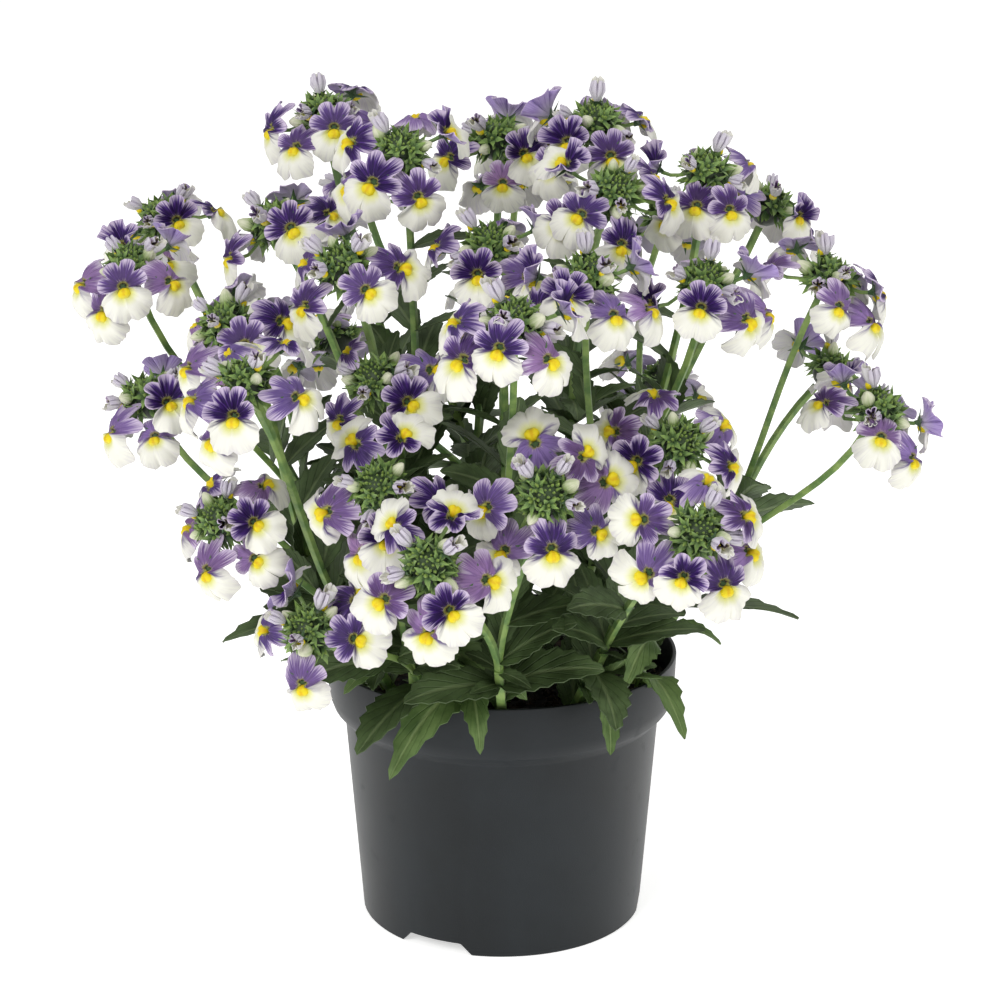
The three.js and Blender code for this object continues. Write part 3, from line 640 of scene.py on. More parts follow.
@dataclass(frozen=True)
class Palate:
    """The raised yellow middle of a bloom, with an orange groove."""

    yellow: str = "ead41e"
    orange: str = "d8a010"
    pale: str = "dfe07c"
    roughness: float = 0.6

    def make(self) -> Material:
        """Builds the material.

        Returns:
            The material.
        """
        g = Graph("palate")
        x, y, _ = g.attribute("flat")
        grain = g.noise(g.place(), 700.0, 3.0)
        groove = g.times(g.drop(g.maths("ABSOLUTE", x), 0.1, 1.1), g.fade(grain, 0.3, 0.6))
        colour = g.lay(linear(self.yellow), self.orange, groove, 0.6)
        colour = g.lay(colour, self.pale, g.drop(y, -4.4, -2.4), 0.8)
        g.bump(grain, 0.4, 0.0004)
        return g.finish(colour, self.roughness, Specular_IOR_Level=0.3)


@dataclass(frozen=True)
class LeafBlade:
    """A leaf: matt green, with a paler midrib, sunken side veins and painted shade along its margin.
    """

    name: str = "leaf"
    dark: str = "3a4b28"
    light: str = "5a6f44"
    rib: str = "8a9b6c"
    roughness: float = 0.55

    def make(self) -> Material:
        """Builds the material.

        Returns:
            The material.
        """
        g = Graph(self.name)
        along, across, _ = g.attribute("form")
        age, hue, _ = g.attribute("tint")
        wide = g.maths("ABSOLUTE", across)
        cloud = g.noise(g.place(), 110.0, 4.0)
        colour = g.mix(g.fade(cloud, 0.32, 0.68), linear(self.dark), linear(self.light))
        colour = g.lay(colour, self.light, age, 0.5)
        sweep = g.times(g.maths("POWER", wide, 0.7), 17.0)
        slant = g.maths("SUBTRACT", g.times(along, 34.0), sweep)
        vein = g.fade(g.maths("SINE", g.plus(slant, g.times(hue, 6.0))), 0.72, 1.0)
        colour = g.lay(colour, self.dark, vein, 0.35)
        rib = g.drop(wide, 0.03, 0.16)
        colour = g.lay(colour, self.rib, rib, 0.5)
        # Painted shade along the margin, darkening the light that the blade's cut edge catches
        colour = g.lay(colour, self.dark, g.fade(wide, 0.9, 1.0), 0.6)
        relief = g.maths("SUBTRACT", g.times(cloud, 0.6), g.plus(rib, vein))
        g.bump(relief, 0.5, 0.0006)
        return g.finish(colour, self.roughness, Specular_IOR_Level=0.35)


@dataclass(frozen=True)
class Stalk:
    """A stem or a flower stalk: light green, flushed darker in places."""

    name: str = "stalk"
    light: str = "8fac5c"
    dark: str = "5a7d3b"
    roughness: float = 0.5

    def make(self) -> Material:
        """Builds the material.

        Returns:
            The material.
        """
        g = Graph(self.name)
        cloud = g.noise(g.place(), 160.0, 3.0)
        colour = g.mix(g.fade(cloud, 0.35, 0.65), linear(self.dark), linear(self.light))
        g.bump(g.noise(g.place(), 1800.0, 2.0), 0.25, 0.0003)
        return g.finish(colour, self.roughness, Sheen_Weight=0.15)


@dataclass(frozen=True)
class BudSkin:
    """A bud or a sepal: dark at its foot, paler towards its tip, over a reach in mm."""

    name: str
    foot: str
    tip: str
    reach: float
    roughness: float = 0.55

    def make(self) -> Material:
        """Builds the material.

        Returns:
            The material.
        """
        g = Graph(self.name)
        x, y, z = g.attribute("flat")
        seed = g.attribute("tint")[2]
        turn = g.times(g.maths("ARCTAN2", y, x), 2.6)
        stripe = g.noise(g.vector(turn, g.times(z, 0.2), g.times(seed, 30.0)), 1.6, 2.0)
        rise = g.plus(z, g.swing(stripe, self.reach))
        share = g.fade(rise, 0.0, self.reach)
        colour = g.mix(share, linear(self.foot), linear(self.tip))
        cloud = g.noise(g.place(), 260.0, 3.0)
        colour = g.lay(colour, self.foot, g.fade(cloud, 0.5, 0.72), 0.35)
        g.bump(stripe, 0.4, 0.0004)
        return g.finish(colour, self.roughness, Sheen_Weight=0.15)


@dataclass(frozen=True)
class PotPlastic:
    """The pot: moulded anthracite plastic with lighter upright streaks of painted sheen, a fine
    grain and light scuffs.
    """

    dark: str = "13171a"
    light: str = "1d2226"
    roughness: float = 0.35

    def make(self) -> Material:
        """Builds the material.

        Returns:
            The material.
        """
        g = Graph("pot_plastic")
        place = g.place()
        cloud = g.noise(place, 22.0, 4.0)
        colour = g.mix(g.fade(cloud, 0.3, 0.75), linear(self.dark), linear(self.light))
        x, y, z = g.node("SeparateXYZ", {0: place}).outputs
        # Lighter upright streaks of painted sheen
        run = g.noise(g.vector(x, y, g.times(z, 0.08)), 75.0, 3.0)
        colour = g.lay(colour, self.light, g.fade(run, 0.4, 0.8), 0.5)
        scuff = g.fade(g.noise(place, 140.0, 5.0), 0.6, 0.74)
        colour = g.lay(colour, self.light, scuff, 0.25)
        dull = g.plus(g.times(cloud, 0.14), g.times(scuff, 0.08))
        g.bump(g.noise(place, 2400.0, 2.0), 0.18, 0.0002)
        return g.finish(colour, g.plus(dull, self.roughness), Specular_IOR_Level=0.28)


@dataclass(frozen=True)
class Peat:
    """The soil: nearly black peat with brown crumbs and a few pale fibres."""

    dark: str = "100b08"
    brown: str = "3a2617"
    fibre: str = "7a5c3a"
    roughness: float = 0.95

    def make(self) -> Material:
        """Builds the material.

        Returns:
            The material.
        """
        g = Graph("peat")
        place = g.place()
        crumb = g.noise(place, 320.0, 5.0)
        colour = g.mix(g.fade(crumb, 0.42, 0.7), linear(self.dark), linear(self.brown))
        thread = g.fade(g.noise(place, 900.0, 1.0), 0.68, 0.74)
        colour = g.lay(colour, self.fibre, thread, 0.5)
        g.bump(crumb, 0.9, 0.002)
        return g.finish(colour, self.roughness)


@dataclass(frozen=True)
class StudioFloor:
    """The floor of the studio: matt and pale."""

    colour: str = "f8f8f7"
    cloud: str = "dadada"
    glow: float = 0.62
    roughness: float = 0.9

    def make(self) -> Material:
        """Builds the material.

        Returns:
            The material.
        """
        g = Graph("studio_floor")
        cloud = g.noise(g.place(), 2.0, 2.0)
        shade = g.lay(linear(self.colour), self.cloud, cloud, 0.03)
        g.shader.inputs["Emission Color"].default_value = linear(self.colour)
        return g.finish(shade, self.roughness, Specular_IOR_Level=0.1, Emission_Strength=self.glow)


@dataclass(frozen=True)
class Stance:
    """How far forward a bloom's upper and side petals and the end of its lip stand, how much they
    ripple, all in mm, and by how many degrees they close."""

    upper: float
    side: float
    lip_end: float
    ripple: float
    closing: float = 0.0


class BloomAge(Enum):
    """How far a bloom is open."""

    OPENING = Stance(0.5, 1.0, 0.5, 0.4, 62.0)
    FRESH = Stance(1.2, 5.0, -1.0, 0.5)
    OPEN = Stance(-5.0, -1.0, -3.0, 0.8)
    FADING = Stance(-7.0, -5.5, -4.8, 1.1)

    @classmethod
    def worn(cls, weariness: float) -> "BloomAge":
        """Returns the age of an open bloom from how tired it is, from 0 to 1."""
        return cls.FRESH if weariness < 0.3 else cls.OPEN if weariness < 0.6 else cls.FADING


@dataclass
class Bloom:
    """A two-lipped bloom of four upper petals and a broad lip, throat at the origin, in mm.

    A scallop of the lip has its depth, its half waves, how many times it takes the seed, and how
    fast it grows from the lip's corner. A ruffle has its depth and its half waves, and the throat
    its depth and its share of the face.
    """

    age: BloomAge
    seed: int
    upper: float = 10.3
    side: float = 9.4
    clefts: tuple[float, float, float] = (7.5, 6.7, 4.4)
    turns: tuple[float, float, float, float] = (0.0, 46.0, 98.0, 180.0)
    roundness: float = 2.3
    lip_edge: tuple[float, ...] = (5.2, 8.4, 9.9, 10.8, 11.3, 11.7, 12.0, 12.3, 12.6, 12.3, 11.0)
    scallops: tuple[tuple[float, int, int, int], ...] = ((0.3, 8, 1, 4), (0.28, 15, 3, 3))
    lobe_columns: int = 7
    lip_columns: int = 16
    ring_shares: tuple[float, ...] = (0.0, 0.26, 0.5, 0.72, 0.88, 1.0)
    cup: float = 2.2
    skew: float = 1.6
    side_blend: tuple[float, float] = (26.0, 40.0)
    petal_arch: float = 0.5
    overlap: float = 0.4
    lip_slope: tuple[float, float] = (0.8, 1.9)
    lip_arch: float = 1.5
    ruffle: tuple[float, float] = (1.3, 3.4)
    ripple_rate: float = 0.11
    throat: tuple[float, float] = (1.9, 0.28)
    thickness: float = 0.35
    palate: tuple[float, float, float] = (2.5, 2.1, 2.5)
    palate_place: tuple[float, float] = (-2.1, 0.7)
    groove: tuple[float, float] = (0.3, 0.25)

    def angles(self) -> list[float]:
        """Finds the directions of the columns of points, from the lip round to the lip.

        Returns:
            The directions, in degrees from the top.
        """
        counts = (self.lobe_columns, self.lobe_columns, self.lip_columns)
        half = [start + (end - start) * i / count
                for start, end, count in zip(self.turns, self.turns[1:], counts)
                for i in range(count)]
        half.append(self.turns[-1])
        return [-angle for angle in reversed(half[1:])] + half

    def edge(self, angle: float) -> tuple[float, float]:
        """Finds the outline in one direction.

        Args:
            angle: degrees from the top.

        Returns:
            The distance of the edge from the throat, and the place across its petal from
            -1 to 1, or along the lip from 0 to 1.
        """
        turn = abs(angle)
        top, first, second, foot = self.turns
        high, middle, low = self.clefts
        if turn < second:
            if turn < first:
                start, end, reach, near, far = top, first, self.upper, high, middle
            else:
                start, end, reach, near, far = first, second, self.side, middle, low
            share = (turn - start) / (end - start)
            across = 2 * share - 1
            cleft = near + (far - near) * share
            return cleft + (reach - cleft) * (1 - abs(across) ** self.roundness) ** 0.5, across
        share = (turn - second) / (foot - second)
        step = share * (len(self.lip_edge) - 1)
        before = min(int(step), len(self.lip_edge) - 2)
        start, end = self.lip_edge[before:before + 2]
        scallop = sum(
            depth * math.sin(waves * math.pi * share + times * self.seed) * min(1.0, growth * share)
            for depth, waves, times, growth in self.scallops)
        return start + (end - start) * (step - before) + scallop * (1 - share ** 4), share

    def spot(self, u: float, v: float) -> tuple[float, float]:
        """Finds one point of the face's grid on the face.

        Args:
            u: its share across the grid.
            v: its share along the grid.

        Returns:
            Its direction in degrees from the top, and its share outwards.
        """
        angles = self.angles()
        angle = angles[round(u * (len(angles) - 1))]
        return angle, self.ring_shares[round(v * (len(self.ring_shares) - 1))]

    def petal_height(self, angle: float, across: float, share: float) -> float:
        """Finds how far forward an upper or a side petal stands at one point.

        Args:
            angle: the point's degrees from the top.
            across: its place across the petal, from -1 to 1.
            share: its share outwards.

        Returns:
            The height.
        """
        stance, turn = self.age.value, abs(angle)
        side = 1 if angle > 0 else -1
        begin, length = self.side_blend
        blend = min(max((turn - begin) / length, 0.0), 1.0)
        depth = stance.upper + (stance.side - stance.upper) * blend ** 2 * (3 - 2 * blend)
        depth += self.skew * side * math.sin(self.seed)
        height = depth * share ** 2 + self.petal_arch * math.sin(math.pi * share)
        height += self.cup * across ** 2 * share
        return height + self.overlap * across * share * (1 if turn < self.turns[1] else side)

    def lip_height(self, angle: float, across: float, share: float) -> float:
        """Finds how far forward the lip stands at one point.

        Args:
            angle: the point's degrees from the top.
            across: its place along half of the lip, from 0 to 1.
            share: its share outwards.

        Returns:
            The height.
        """
        side = 1 if angle > 0 else -1
        near, gain = self.lip_slope
        depth, waves = self.ruffle
        ruffle = math.sin(waves * math.pi * across + 2 * self.seed * side)
        height = (near + gain * across) * share + self.lip_arch * math.sin(math.pi * share)
        height += self.age.value.lip_end * share ** 3
        height += depth * ruffle * share ** 3 * min(1.0, 3 * (1 - across))
        return height + self.cup * (1 - min(1.0, 4 * across)) * share

    def shape(self, u: float, v: float) -> Vector:
        """Finds the place of one point of the face.

        Args:
            u: its share round the face.
            v: its share outwards along the grid.

        Returns:
            Its place.
        """
        angle, share = self.spot(u, v)
        stance = self.age.value
        reach, across = self.edge(angle)
        height = stance.ripple * math.sin(self.ripple_rate * angle + self.seed) * share ** 3
        lobe = self.petal_height if abs(angle) < self.turns[2] else self.lip_height
        height += lobe(angle, across, share)
        depth, width = self.throat
        height -= depth * max(0.0, 1 - share / width)
        fold = math.radians(stance.closing) * share
        out = reach * share * math.cos(fold) - height * math.sin(fold)
        forward = reach * share * math.sin(fold) + height * math.cos(fold)
        radians = math.radians(angle)
        return Vector((-out * math.sin(radians), out * math.cos(radians), forward))

    def form(self, u: float, v: float) -> Vector:
        """Returns a point's share outwards and its turn from the top as a share."""
        angle, share = self.spot(u, v)
        return Vector((share, abs(angle) / 180, 0.0))

    def build(self, shop: Workshop, finishes: Sequence[Material]) -> Piece:
        """Models the bloom.

        Args:
            shop: the workshop.
            finishes: the petal face, the petal back and the palate.

        Returns:
            The model, kept on the bench.
        """
        columns = len(self.angles()) - 1
        rows = len(self.ring_shares) - 1
        face = shop.sheet("corolla", columns, rows, self.shape, self.form, UP)
        shop.keep_places(face)
        face.data.materials.append(finishes[0])
        face.data.materials.append(finishes[1])
        shop.modify(face, "SOLIDIFY", thickness=self.thickness, offset=-1.0, material_offset=1)
        shop.smooth(face, 60)
        shop.deselect()
        bpy.ops.mesh.primitive_uv_sphere_add(segments=10, ring_count=6, radius=1.0)
        hump = bpy.context.object
        wide, long, tall = self.palate
        down, forward = self.palate_place
        depth, width = self.groove
        for vertex in hump.data.vertices:
            x, y, z = vertex.co
            groove = depth * math.exp(-(x / width) ** 2) * max(0.0, z)
            vertex.co = Vector((x * wide, y * long + down, (z - groove) * tall + forward))
        shop.keep_places(hump)
        hump.data.materials.append(finishes[2])
        shop.smooth(hump, 80)
        return shop.keep_model(shop.join("bloom_" + self.age.name.lower(), [face, hump]))


@dataclass
class Calyx:
    """The green cup behind a bloom, with narrow sepals laid along its back, in mm."""

    cup: tuple[float, float, float] = (0.7, 1.7, 2.4)
    cup_middle: float = -2.0
    sepals: int = 5
    length: float = 5.4
    width: float = 1.35
    flatness: float = 0.35
    start: float = 1.0
    behind: tuple[float, float] = (-1.3, 0.5)

    def build(self, shop: Workshop, skin: Material) -> Piece:
        """Models the calyx.

        Args:
            shop: the workshop.
            skin: its finish.

        Returns:
            The model, kept on the bench.
        """
        shop.deselect()
        foot, mouth, depth = self.cup
        bpy.ops.mesh.primitive_cone_add(vertices=6, radius1=foot, radius2=mouth, depth=depth)
        cup = bpy.context.object
        cup.data.transform(Matrix.Translation((0, 0, self.cup_middle)))
        parts = [cup]
        low, climb = self.behind
        for i in range(self.sepals):
            bpy.ops.mesh.primitive_cone_add(vertices=4, radius1=self.width, depth=self.length)
            sepal = bpy.context.object
            for vertex in sepal.data.vertices:
                x, y, z = vertex.co
                share = z / self.length + 0.5
                out = self.start + share * self.length
                vertex.co = Vector((x, out, y * self.flatness + low + climb * share))
            sepal.data.transform(Matrix.Rotation(2 * math.pi * (i + 0.5) / self.sepals, 4, "Z"))
            parts.append(sepal)
        calyx = shop.join("calyx", parts)
        shop.keep_places(calyx)
        calyx.data.materials.append(skin)
        return shop.keep_model(calyx)


@dataclass
class Bud:
    """A pleated bud of unit radius that tapers to its tip, foot at the origin and tip up."""

    name: str
    sides: int
    rings: int
    taper: float
    height: float = 2.6
    pleats: int = 3
    pleat: float = 0.07

    def build(self, shop: Workshop, skin: Material) -> Piece:
        """Models the bud.

        Args:
            shop: the workshop.
            skin: its finish.

        Returns:
            The model, kept on the bench.
        """
        shop.deselect()
        bpy.ops.mesh.primitive_uv_sphere_add(
            segments=self.sides, ring_count=self.rings, radius=1.0)
        bud = bpy.context.object
        for vertex in bud.data.vertices:
            x, y, z = vertex.co
            share = (z + 1) / 2
            pinch = 1.0 - self.taper * share ** 2
            pleat = 1.0 + self.pleat * math.cos(self.pleats * math.atan2(y, x))
            vertex.co = Vector((x * pinch * pleat, y * pinch * pleat, self.height * share))
        shop.keep_places(bud)
        bud.name = self.name
        bud.data.materials.append(skin)
        shop.smooth(bud, 70)
        return shop.keep_model(bud)


@dataclass
class Sepal:
    """A narrow pointed sepal that curls out, foot at the origin and tip up, in mm."""

    width: float = 0.85
    length: float = 4.9
    swell: float = 1.1
    flatness: float = 0.4
    curl: float = 1.3

    def build(self, shop: Workshop, skin: Material) -> Piece:
        """Models the sepal.

        Args:
            shop: the workshop.
            skin: its finish.

        Returns:
            The model, kept on the bench.
        """
        shop.deselect()
        bpy.ops.mesh.primitive_cone_add(vertices=4, radius1=self.width, depth=self.length)
        sepal = bpy.context.object
        bpy.ops.object.mode_set(mode="EDIT")
        bpy.ops.mesh.select_all(action="SELECT")
        bpy.ops.mesh.subdivide(number_cuts=1)
        bpy.ops.object.mode_set(mode="OBJECT")
        for vertex in sepal.data.vertices:
            x, y, z = vertex.co
            share = z / self.length + 0.5
            wide = x * (1.0 + self.swell * math.sin(math.pi * share))
            out = y * self.flatness + self.curl * share ** 2
            vertex.co = Vector((wide, out, share * self.length))
        shop.keep_places(sepal)
        sepal.data.materials.append(skin)
        return shop.keep_model(sepal)


class GreenPart(Enum):
    """What a rosette's core is set with."""

    KNOB = auto()
    SEPAL = auto()
    STAR = auto()
    BUD = auto()


@dataclass
class Seat:
    """How one part is set on a rosette's core: down from the axis, round it, out from the middle,
    its scale, its lean back to the axis and its own turn, in mm and degrees."""

    polar: float
    turn: float
    out: float
    scale: float
    sway: float
    spin: float

    def matrix(self) -> Matrix:
        """Works out the part's transform.

        Returns:
            The transform from its model to its place.
        """
        place = Matrix.Rotation(math.radians(self.turn), 4, "Z")
        place @= Matrix.Rotation(math.radians(self.polar), 4, "Y")
        place @= Matrix.Translation((0, 0, self.out))
        place @= Matrix.Rotation(math.radians(-self.sway), 4, "Y")
        place @= Matrix.Rotation(math.radians(self.spin), 4, "Z")
        return place @ Matrix.Diagonal((self.scale, self.scale, self.scale, 1.0))


@dataclass
class Rosette:
    """The green middle of a head: a core set with knobs, sepals, stars of sepals and a few large
    buds, in mm. A reach says how many degrees down from the axis a set of parts goes, or between
    which degrees, and a seat how far out from the middle the feet of its parts are."""

    seed: int
    core: tuple[float, float, float] = (5.6, 5.6, 6.2)
    knobs: int = 34
    knob_reach: float = 50.0
    knob_seat: float = 5.5
    sepals: int = 58
    sepal_reach: float = 114.0
    sepal_seat: float = 5.3
    stars: int = 16
    star_reach: tuple[float, float] = (26.0, 110.0)
    star_seat: float = 5.4
    star_points: int = 5
    buds: int = 3
    bud_reach: tuple[float, float] = (55.0, 88.0)
    bud_seat: float = 6.0

    def star(self, shop: Workshop, knob: Piece, sepal: Piece) -> Piece:
        """Models a small bud in a star of sepals.

        Args:
            shop: the workshop.
            knob: the model of its bud.
            sepal: the model of its sepals.

        Returns:
            The model, foot at the origin and tip up, kept on the bench.
        """
        tint = (0.0, 0.5, 0.5)
        parts = [shop.copy(knob, Matrix.Translation((0, 0, 0.4)) @ Matrix.Scale(0.8, 4), tint)]
        for i in range(self.star_points):
            turn = 360 / self.star_points * i + 9 * (i % 2)
            place = Matrix.Rotation(math.radians(turn), 4, "Z")
            place @= Matrix.Rotation(math.radians(-30 - 9 * (i % 3)), 4, "X")
            parts.append(shop.copy(sepal, place @ Matrix.Scale(1.0 - 0.08 * (i % 2), 4), tint))
        return shop.keep_model(shop.join("star", parts))

    def seats(self, draws: Draws) -> Iterator[tuple[GreenPart, Seat]]:
        """Draws how each part is set on the core, each set of parts from its top down.

        Args:
            draws: the rosette's draws.

        Returns:
            Each part with its seat, one after another.
        """
        for i in range(self.knobs):
            share = (i + 0.5) / self.knobs
            turn = GOLDEN_ANGLE * i + draws.between(-12, 12)
            size = 0.5 + 0.3 * share + draws.between(-0.1, 0.15)
            yield GreenPart.KNOB, Seat(self.knob_reach * share ** 0.56, turn, self.knob_seat,
                                       size, 14 * share, draws.between(0, 360))
        for i in range(self.sepals):
            share = (i + 0.5) / self.sepals
            turn = GOLDEN_ANGLE * (i + 0.5) + draws.between(-15, 15)
            size = 0.42 + 0.55 * share
            yield GreenPart.SEPAL, Seat(self.sepal_reach * share ** 0.5, turn, self.sepal_seat,
                                        size, draws.between(-62, -8), draws.between(70, 110))
        first, last = self.star_reach
        for i in range(self.stars):
            share = (i + 0.5) / self.stars
            turn = GOLDEN_ANGLE * (i + 0.3) + draws.between(-10, 10)
            size = 0.92 + 0.3 * share + draws.between(-0.08, 0.12)
            yield GreenPart.STAR, Seat(first + (last - first) * share, turn, self.star_seat,
                                       size, draws.between(-24, 10), draws.between(0, 360))
        for i in range(self.buds):
            turn = 360 * (i + draws.between(-0.25, 0.25)) / self.buds
            size = draws.between(1.8, 2.5)
            yield GreenPart.BUD, Seat(draws.between(*self.bud_reach), turn, self.bud_seat,
                                      size, draws.between(5, 30), draws.between(0, 360))

    def build(self, shop: Workshop, skins: Sequence[Material]) -> Piece:
        """Models the rosette, its axis up.

        Args:
            shop: the workshop.
            skins: the finishes of the core, whose near-black is painted shade between its parts, of
                small knobs, of sepals and of large buds.

        Returns:
            The model, kept on the bench.
        """
        core_painted_shade_skin, knob_skin, sepal_skin, bud_skin = skins
        shop.deselect()
        bpy.ops.mesh.primitive_uv_sphere_add(segments=12, ring_count=8, radius=1.0)
        core = bpy.context.object
        core.data.transform(Matrix.Diagonal((*self.core, 1.0)))
        # The core takes the finish of painted shade between its parts
        core.data.materials.append(core_painted_shade_skin)
        shop.keep_places(core)
        shop.smooth(core, 80)
        shop.tinted(core, (0.0, 0.0, 0.0))
        knob = Bud("knob", 7, 4, 0.8).build(shop, knob_skin)
        sepal = Sepal().build(shop, sepal_skin)
        models = {
            GreenPart.KNOB: knob,
            GreenPart.SEPAL: sepal,
            GreenPart.STAR: self.star(shop, knob, sepal),
            GreenPart.BUD: Bud("bud", 12, 6, 0.5).build(shop, bud_skin),
        }
        draws = Draws(self.seed)
        parts = [core]
        for part, seat in self.seats(draws):
            tint = (draws.share(), draws.share(), draws.share())
            parts.append(shop.copy(models[part], seat.matrix(), tint))
        return shop.keep_model(shop.join(f"rosette_{self.seed}", parts))


@dataclass
class Place:
    """Where a bloom stands: its throat, its axes and its size, in mm."""

    throat: Vector
    out: Vector
    top: Vector
    size: float

    @property
    def right(self) -> Vector:
        """The direction to the bloom's right, seen with its face towards the viewer."""
        return self.top.cross(self.out)

    def at(self, x: float, y: float, z: float) -> Vector:
        """Returns a point given across, up and out of the bloom's face."""
        return self.throat + (self.right * x + self.top * y + self.out * z) * self.size

    def matrix(self) -> Matrix:
        """Returns the transform from a bloom's model to its place."""
        turn = Matrix((self.right, self.top, self.out)).transposed().to_4x4()
        return Matrix.Translation(self.throat) @ turn @ Matrix.Diagonal((*[self.size] * 3, 1.0))

    def outline(self) -> list[Vector]:
        """Finds the points of the bloom's edge in the frame.

        Returns:
            The points.
        """
        half = [(math.radians(angle), reach, height) for angle, reach, height in BLOOM_EDGE]
        edge = [*half, *((-angle, reach, height) for angle, reach, height in half[1:-1])]
        return [self.at(-reach * math.sin(angle), reach * math.cos(angle), height)
                for angle, reach, height in edge]


class Corners:
    """The corners of a CAD node, in mm, to find what the part's source made of a rule."""

    def __init__(self, node: str) -> None:
        """Reads a node's corners.

        Args:
            node: the node's name.
        """
        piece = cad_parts[node]
        vertices = piece.data.vertices
        self.tree = kdtree.KDTree(len(vertices))
        for index, vertex in enumerate(vertices):
            self.tree.insert(piece.matrix_world @ vertex.co / MM, index)
        self.tree.balance()

    def matched(self, points: Iterable[Vector], within: float = 0.12) -> int:
        """Returns how many of some points have a corner within a distance of them."""
        return sum(self.tree.find(point)[2] < within for point in points)


@dataclass
class FlowerHead:
    """One flower head: a green rosette with open blooms on stalks round it, in mm and degrees.

    The fields down to cap are those of the part's source, and chance holds how far it moves a
    bloom: round the head, in tilt, outwards, along the axis, in turn, and its share in size.
    """

    number: int
    row: tuple[float, ...]
    ring: float = 18.0
    ring_step: float = 0.5
    crown: float = 2.0
    drop: float = 1.6
    tilt: float = 26.0
    tilt_by_lean: float = 0.34
    slots: int = 10
    chance: tuple[float, ...] = (16, 18, 2, 2, 24, 0.12)
    droop_kept: float = 0.4
    rise_kept: float = 0.6
    sides: int = 5
    foot: tuple[float, float] = (1.6, -7.5)
    rim: tuple[float, float] = (7.0, -1.0)
    cap: tuple[float, float] = (5.6, 5.0)
    corners_needed: int = 8
    wear_by_slot: float = 0.09
    wear_by_chance: float = 0.6
    nods: tuple[tuple[float, float], ...] = ((-14, 8), (-12, 12), (-10, 10))
    bloom_size: tuple[float, float] = (0.92, 1.04)
    half_open: int = 3
    half_open_tries: int = 8
    half_open_reach: float = 9.4
    half_open_spread: float = 55.0
    half_open_size: tuple[float, float] = (0.5, 0.72)
    stalk_end: float = -2.8
    stalk_root: float = 2.0
    stalk_bend: float = 0.35
    rosette_scale: float = 1.14
    seed: int = 500
    places: list[Place] = field(default_factory=list)
    seats: list[Vector] = field(default_factory=list)

    def __post_init__(self) -> None:
        """Works out the head's axis."""
        x, y, z, self.lean, heading, self.turn, self.count = self.row
        self.at = Vector((x, y, z))
        side = math.radians(heading)
        hinge = Vector((-math.sin(side), math.cos(side), 0.0))
        self.attitude = Quaternion(hinge, math.radians(self.lean))
        self.axis = self.attitude @ UP

    @property
    def label(self) -> str:
        """The head's number as two digits."""
        return f"{self.number:02d}"

    def corner(self, ring: tuple[float, float], index: int, shift: float = 0.0) -> Vector:
        """Finds one corner of the solid rosette.

        Args:
            ring: the radius and the height of the corner's ring.
            index: its number round the ring.
            shift: how many sides further round it stands.

        Returns:
            The corner.
        """
        turn = math.radians(self.turn) + 2 * math.pi * (index - 0.5 + shift) / self.sides
        flat = Vector((ring[0] * math.cos(turn), ring[0] * math.sin(turn), ring[1]))
        return self.attitude @ flat + self.at

    def seat_rings(self) -> list[list[Vector]]:
        """Finds the middles of the rosette's faces that stalks leave.

        Returns:
            The upper ring of middles and the lower one.
        """
        upper = [self.corner(self.rim, i) + self.corner(self.rim, i + 1)
                 + self.corner(self.cap, i, 0.5) for i in range(self.sides)]
        lower = [self.corner(self.foot, i + 1) + self.corner(self.rim, i + 1)
                 + self.corner(self.rim, i) for i in range(self.sides)]
        return [[total / 3 for total in ring] for ring in (upper, lower)]

    def place(self, slot: int, bend: Sequence[float], chance: Sequence[float]) -> Place:
        """Finds where the bloom of one slot stands under one bend.

        Args:
            slot: the bloom's slot round the head.
            bend: a row of BLOOM_BENDS.
            chance: how far chance moves the bloom.

        Returns:
            Its place.
        """
        round_by, outwards, upwards, tilt, share = bend
        turn = math.radians(self.turn + GOLDEN_ANGLE * slot + chance[0] + round_by)
        lean = self.tilt + self.tilt_by_lean * self.lean
        spread = math.radians(lean + chance[1] + tilt)
        ring = self.ring + self.ring_step * slot + chance[2] + outwards
        height = self.crown - self.drop * slot + chance[3] + upwards
        radial = self.attitude @ Vector((math.cos(turn), math.sin(turn), 0.0))
        throat = self.at + radial * ring + self.axis * height
        out = radial * math.cos(spread) + self.axis * math.sin(spread)
        out.z *= self.droop_kept if out.z < 0 else self.rise_kept
        out.normalize()
        top = self.axis * math.cos(spread) - radial * math.sin(spread)
        top.rotate(Quaternion(out, math.radians(chance[4])))
        top = (top - out * top.dot(out)).normalized()
        return Place(throat, out, top, share * (1 + chance[5]))

    def find_blooms(self) -> None:
        """Finds the place and the seat of each bloom that the frame has on this head."""
        corners = Corners("head_" + self.label)
        rings = self.seat_rings()
        for slot in range(self.slots):
            if len(self.places) == self.count:
                return
            draws = Draws(self.number * self.slots + slot)
            chance = [reach * (draws.share() - 0.5) for reach in self.chance]
            options = [self.place(slot, bend, chance) for bend in BLOOM_BENDS]
            place = max(options, key=lambda option: corners.matched(option.outline()))
            if corners.matched(place.outline()) < self.corners_needed:
                continue
            ring = next(seats for seats in rings if seats)
            seat = min(ring, key=lambda point: (point - place.throat).length)
            ring.remove(seat)
            self.places.append(place)
            self.seats.append(seat)

    def close_place(self, draws: Draws) -> Place:
        """Draws a place for a half-open bloom, close to the rosette.

        Args:
            draws: the head's draws.

        Returns:
            The place.
        """
        turn = draws.between(0, 2 * math.pi)
        spread = math.radians(draws.between(0, self.half_open_spread))
        radial = self.attitude @ Vector((math.cos(turn), math.sin(turn), 0.0))
        out = radial * math.cos(spread) + self.axis * math.sin(spread)
        top = self.axis * math.cos(spread) - radial * math.sin(spread)
        throat = self.at + out * self.half_open_reach
        return Place(throat, out, top, draws.between(*self.half_open_size))

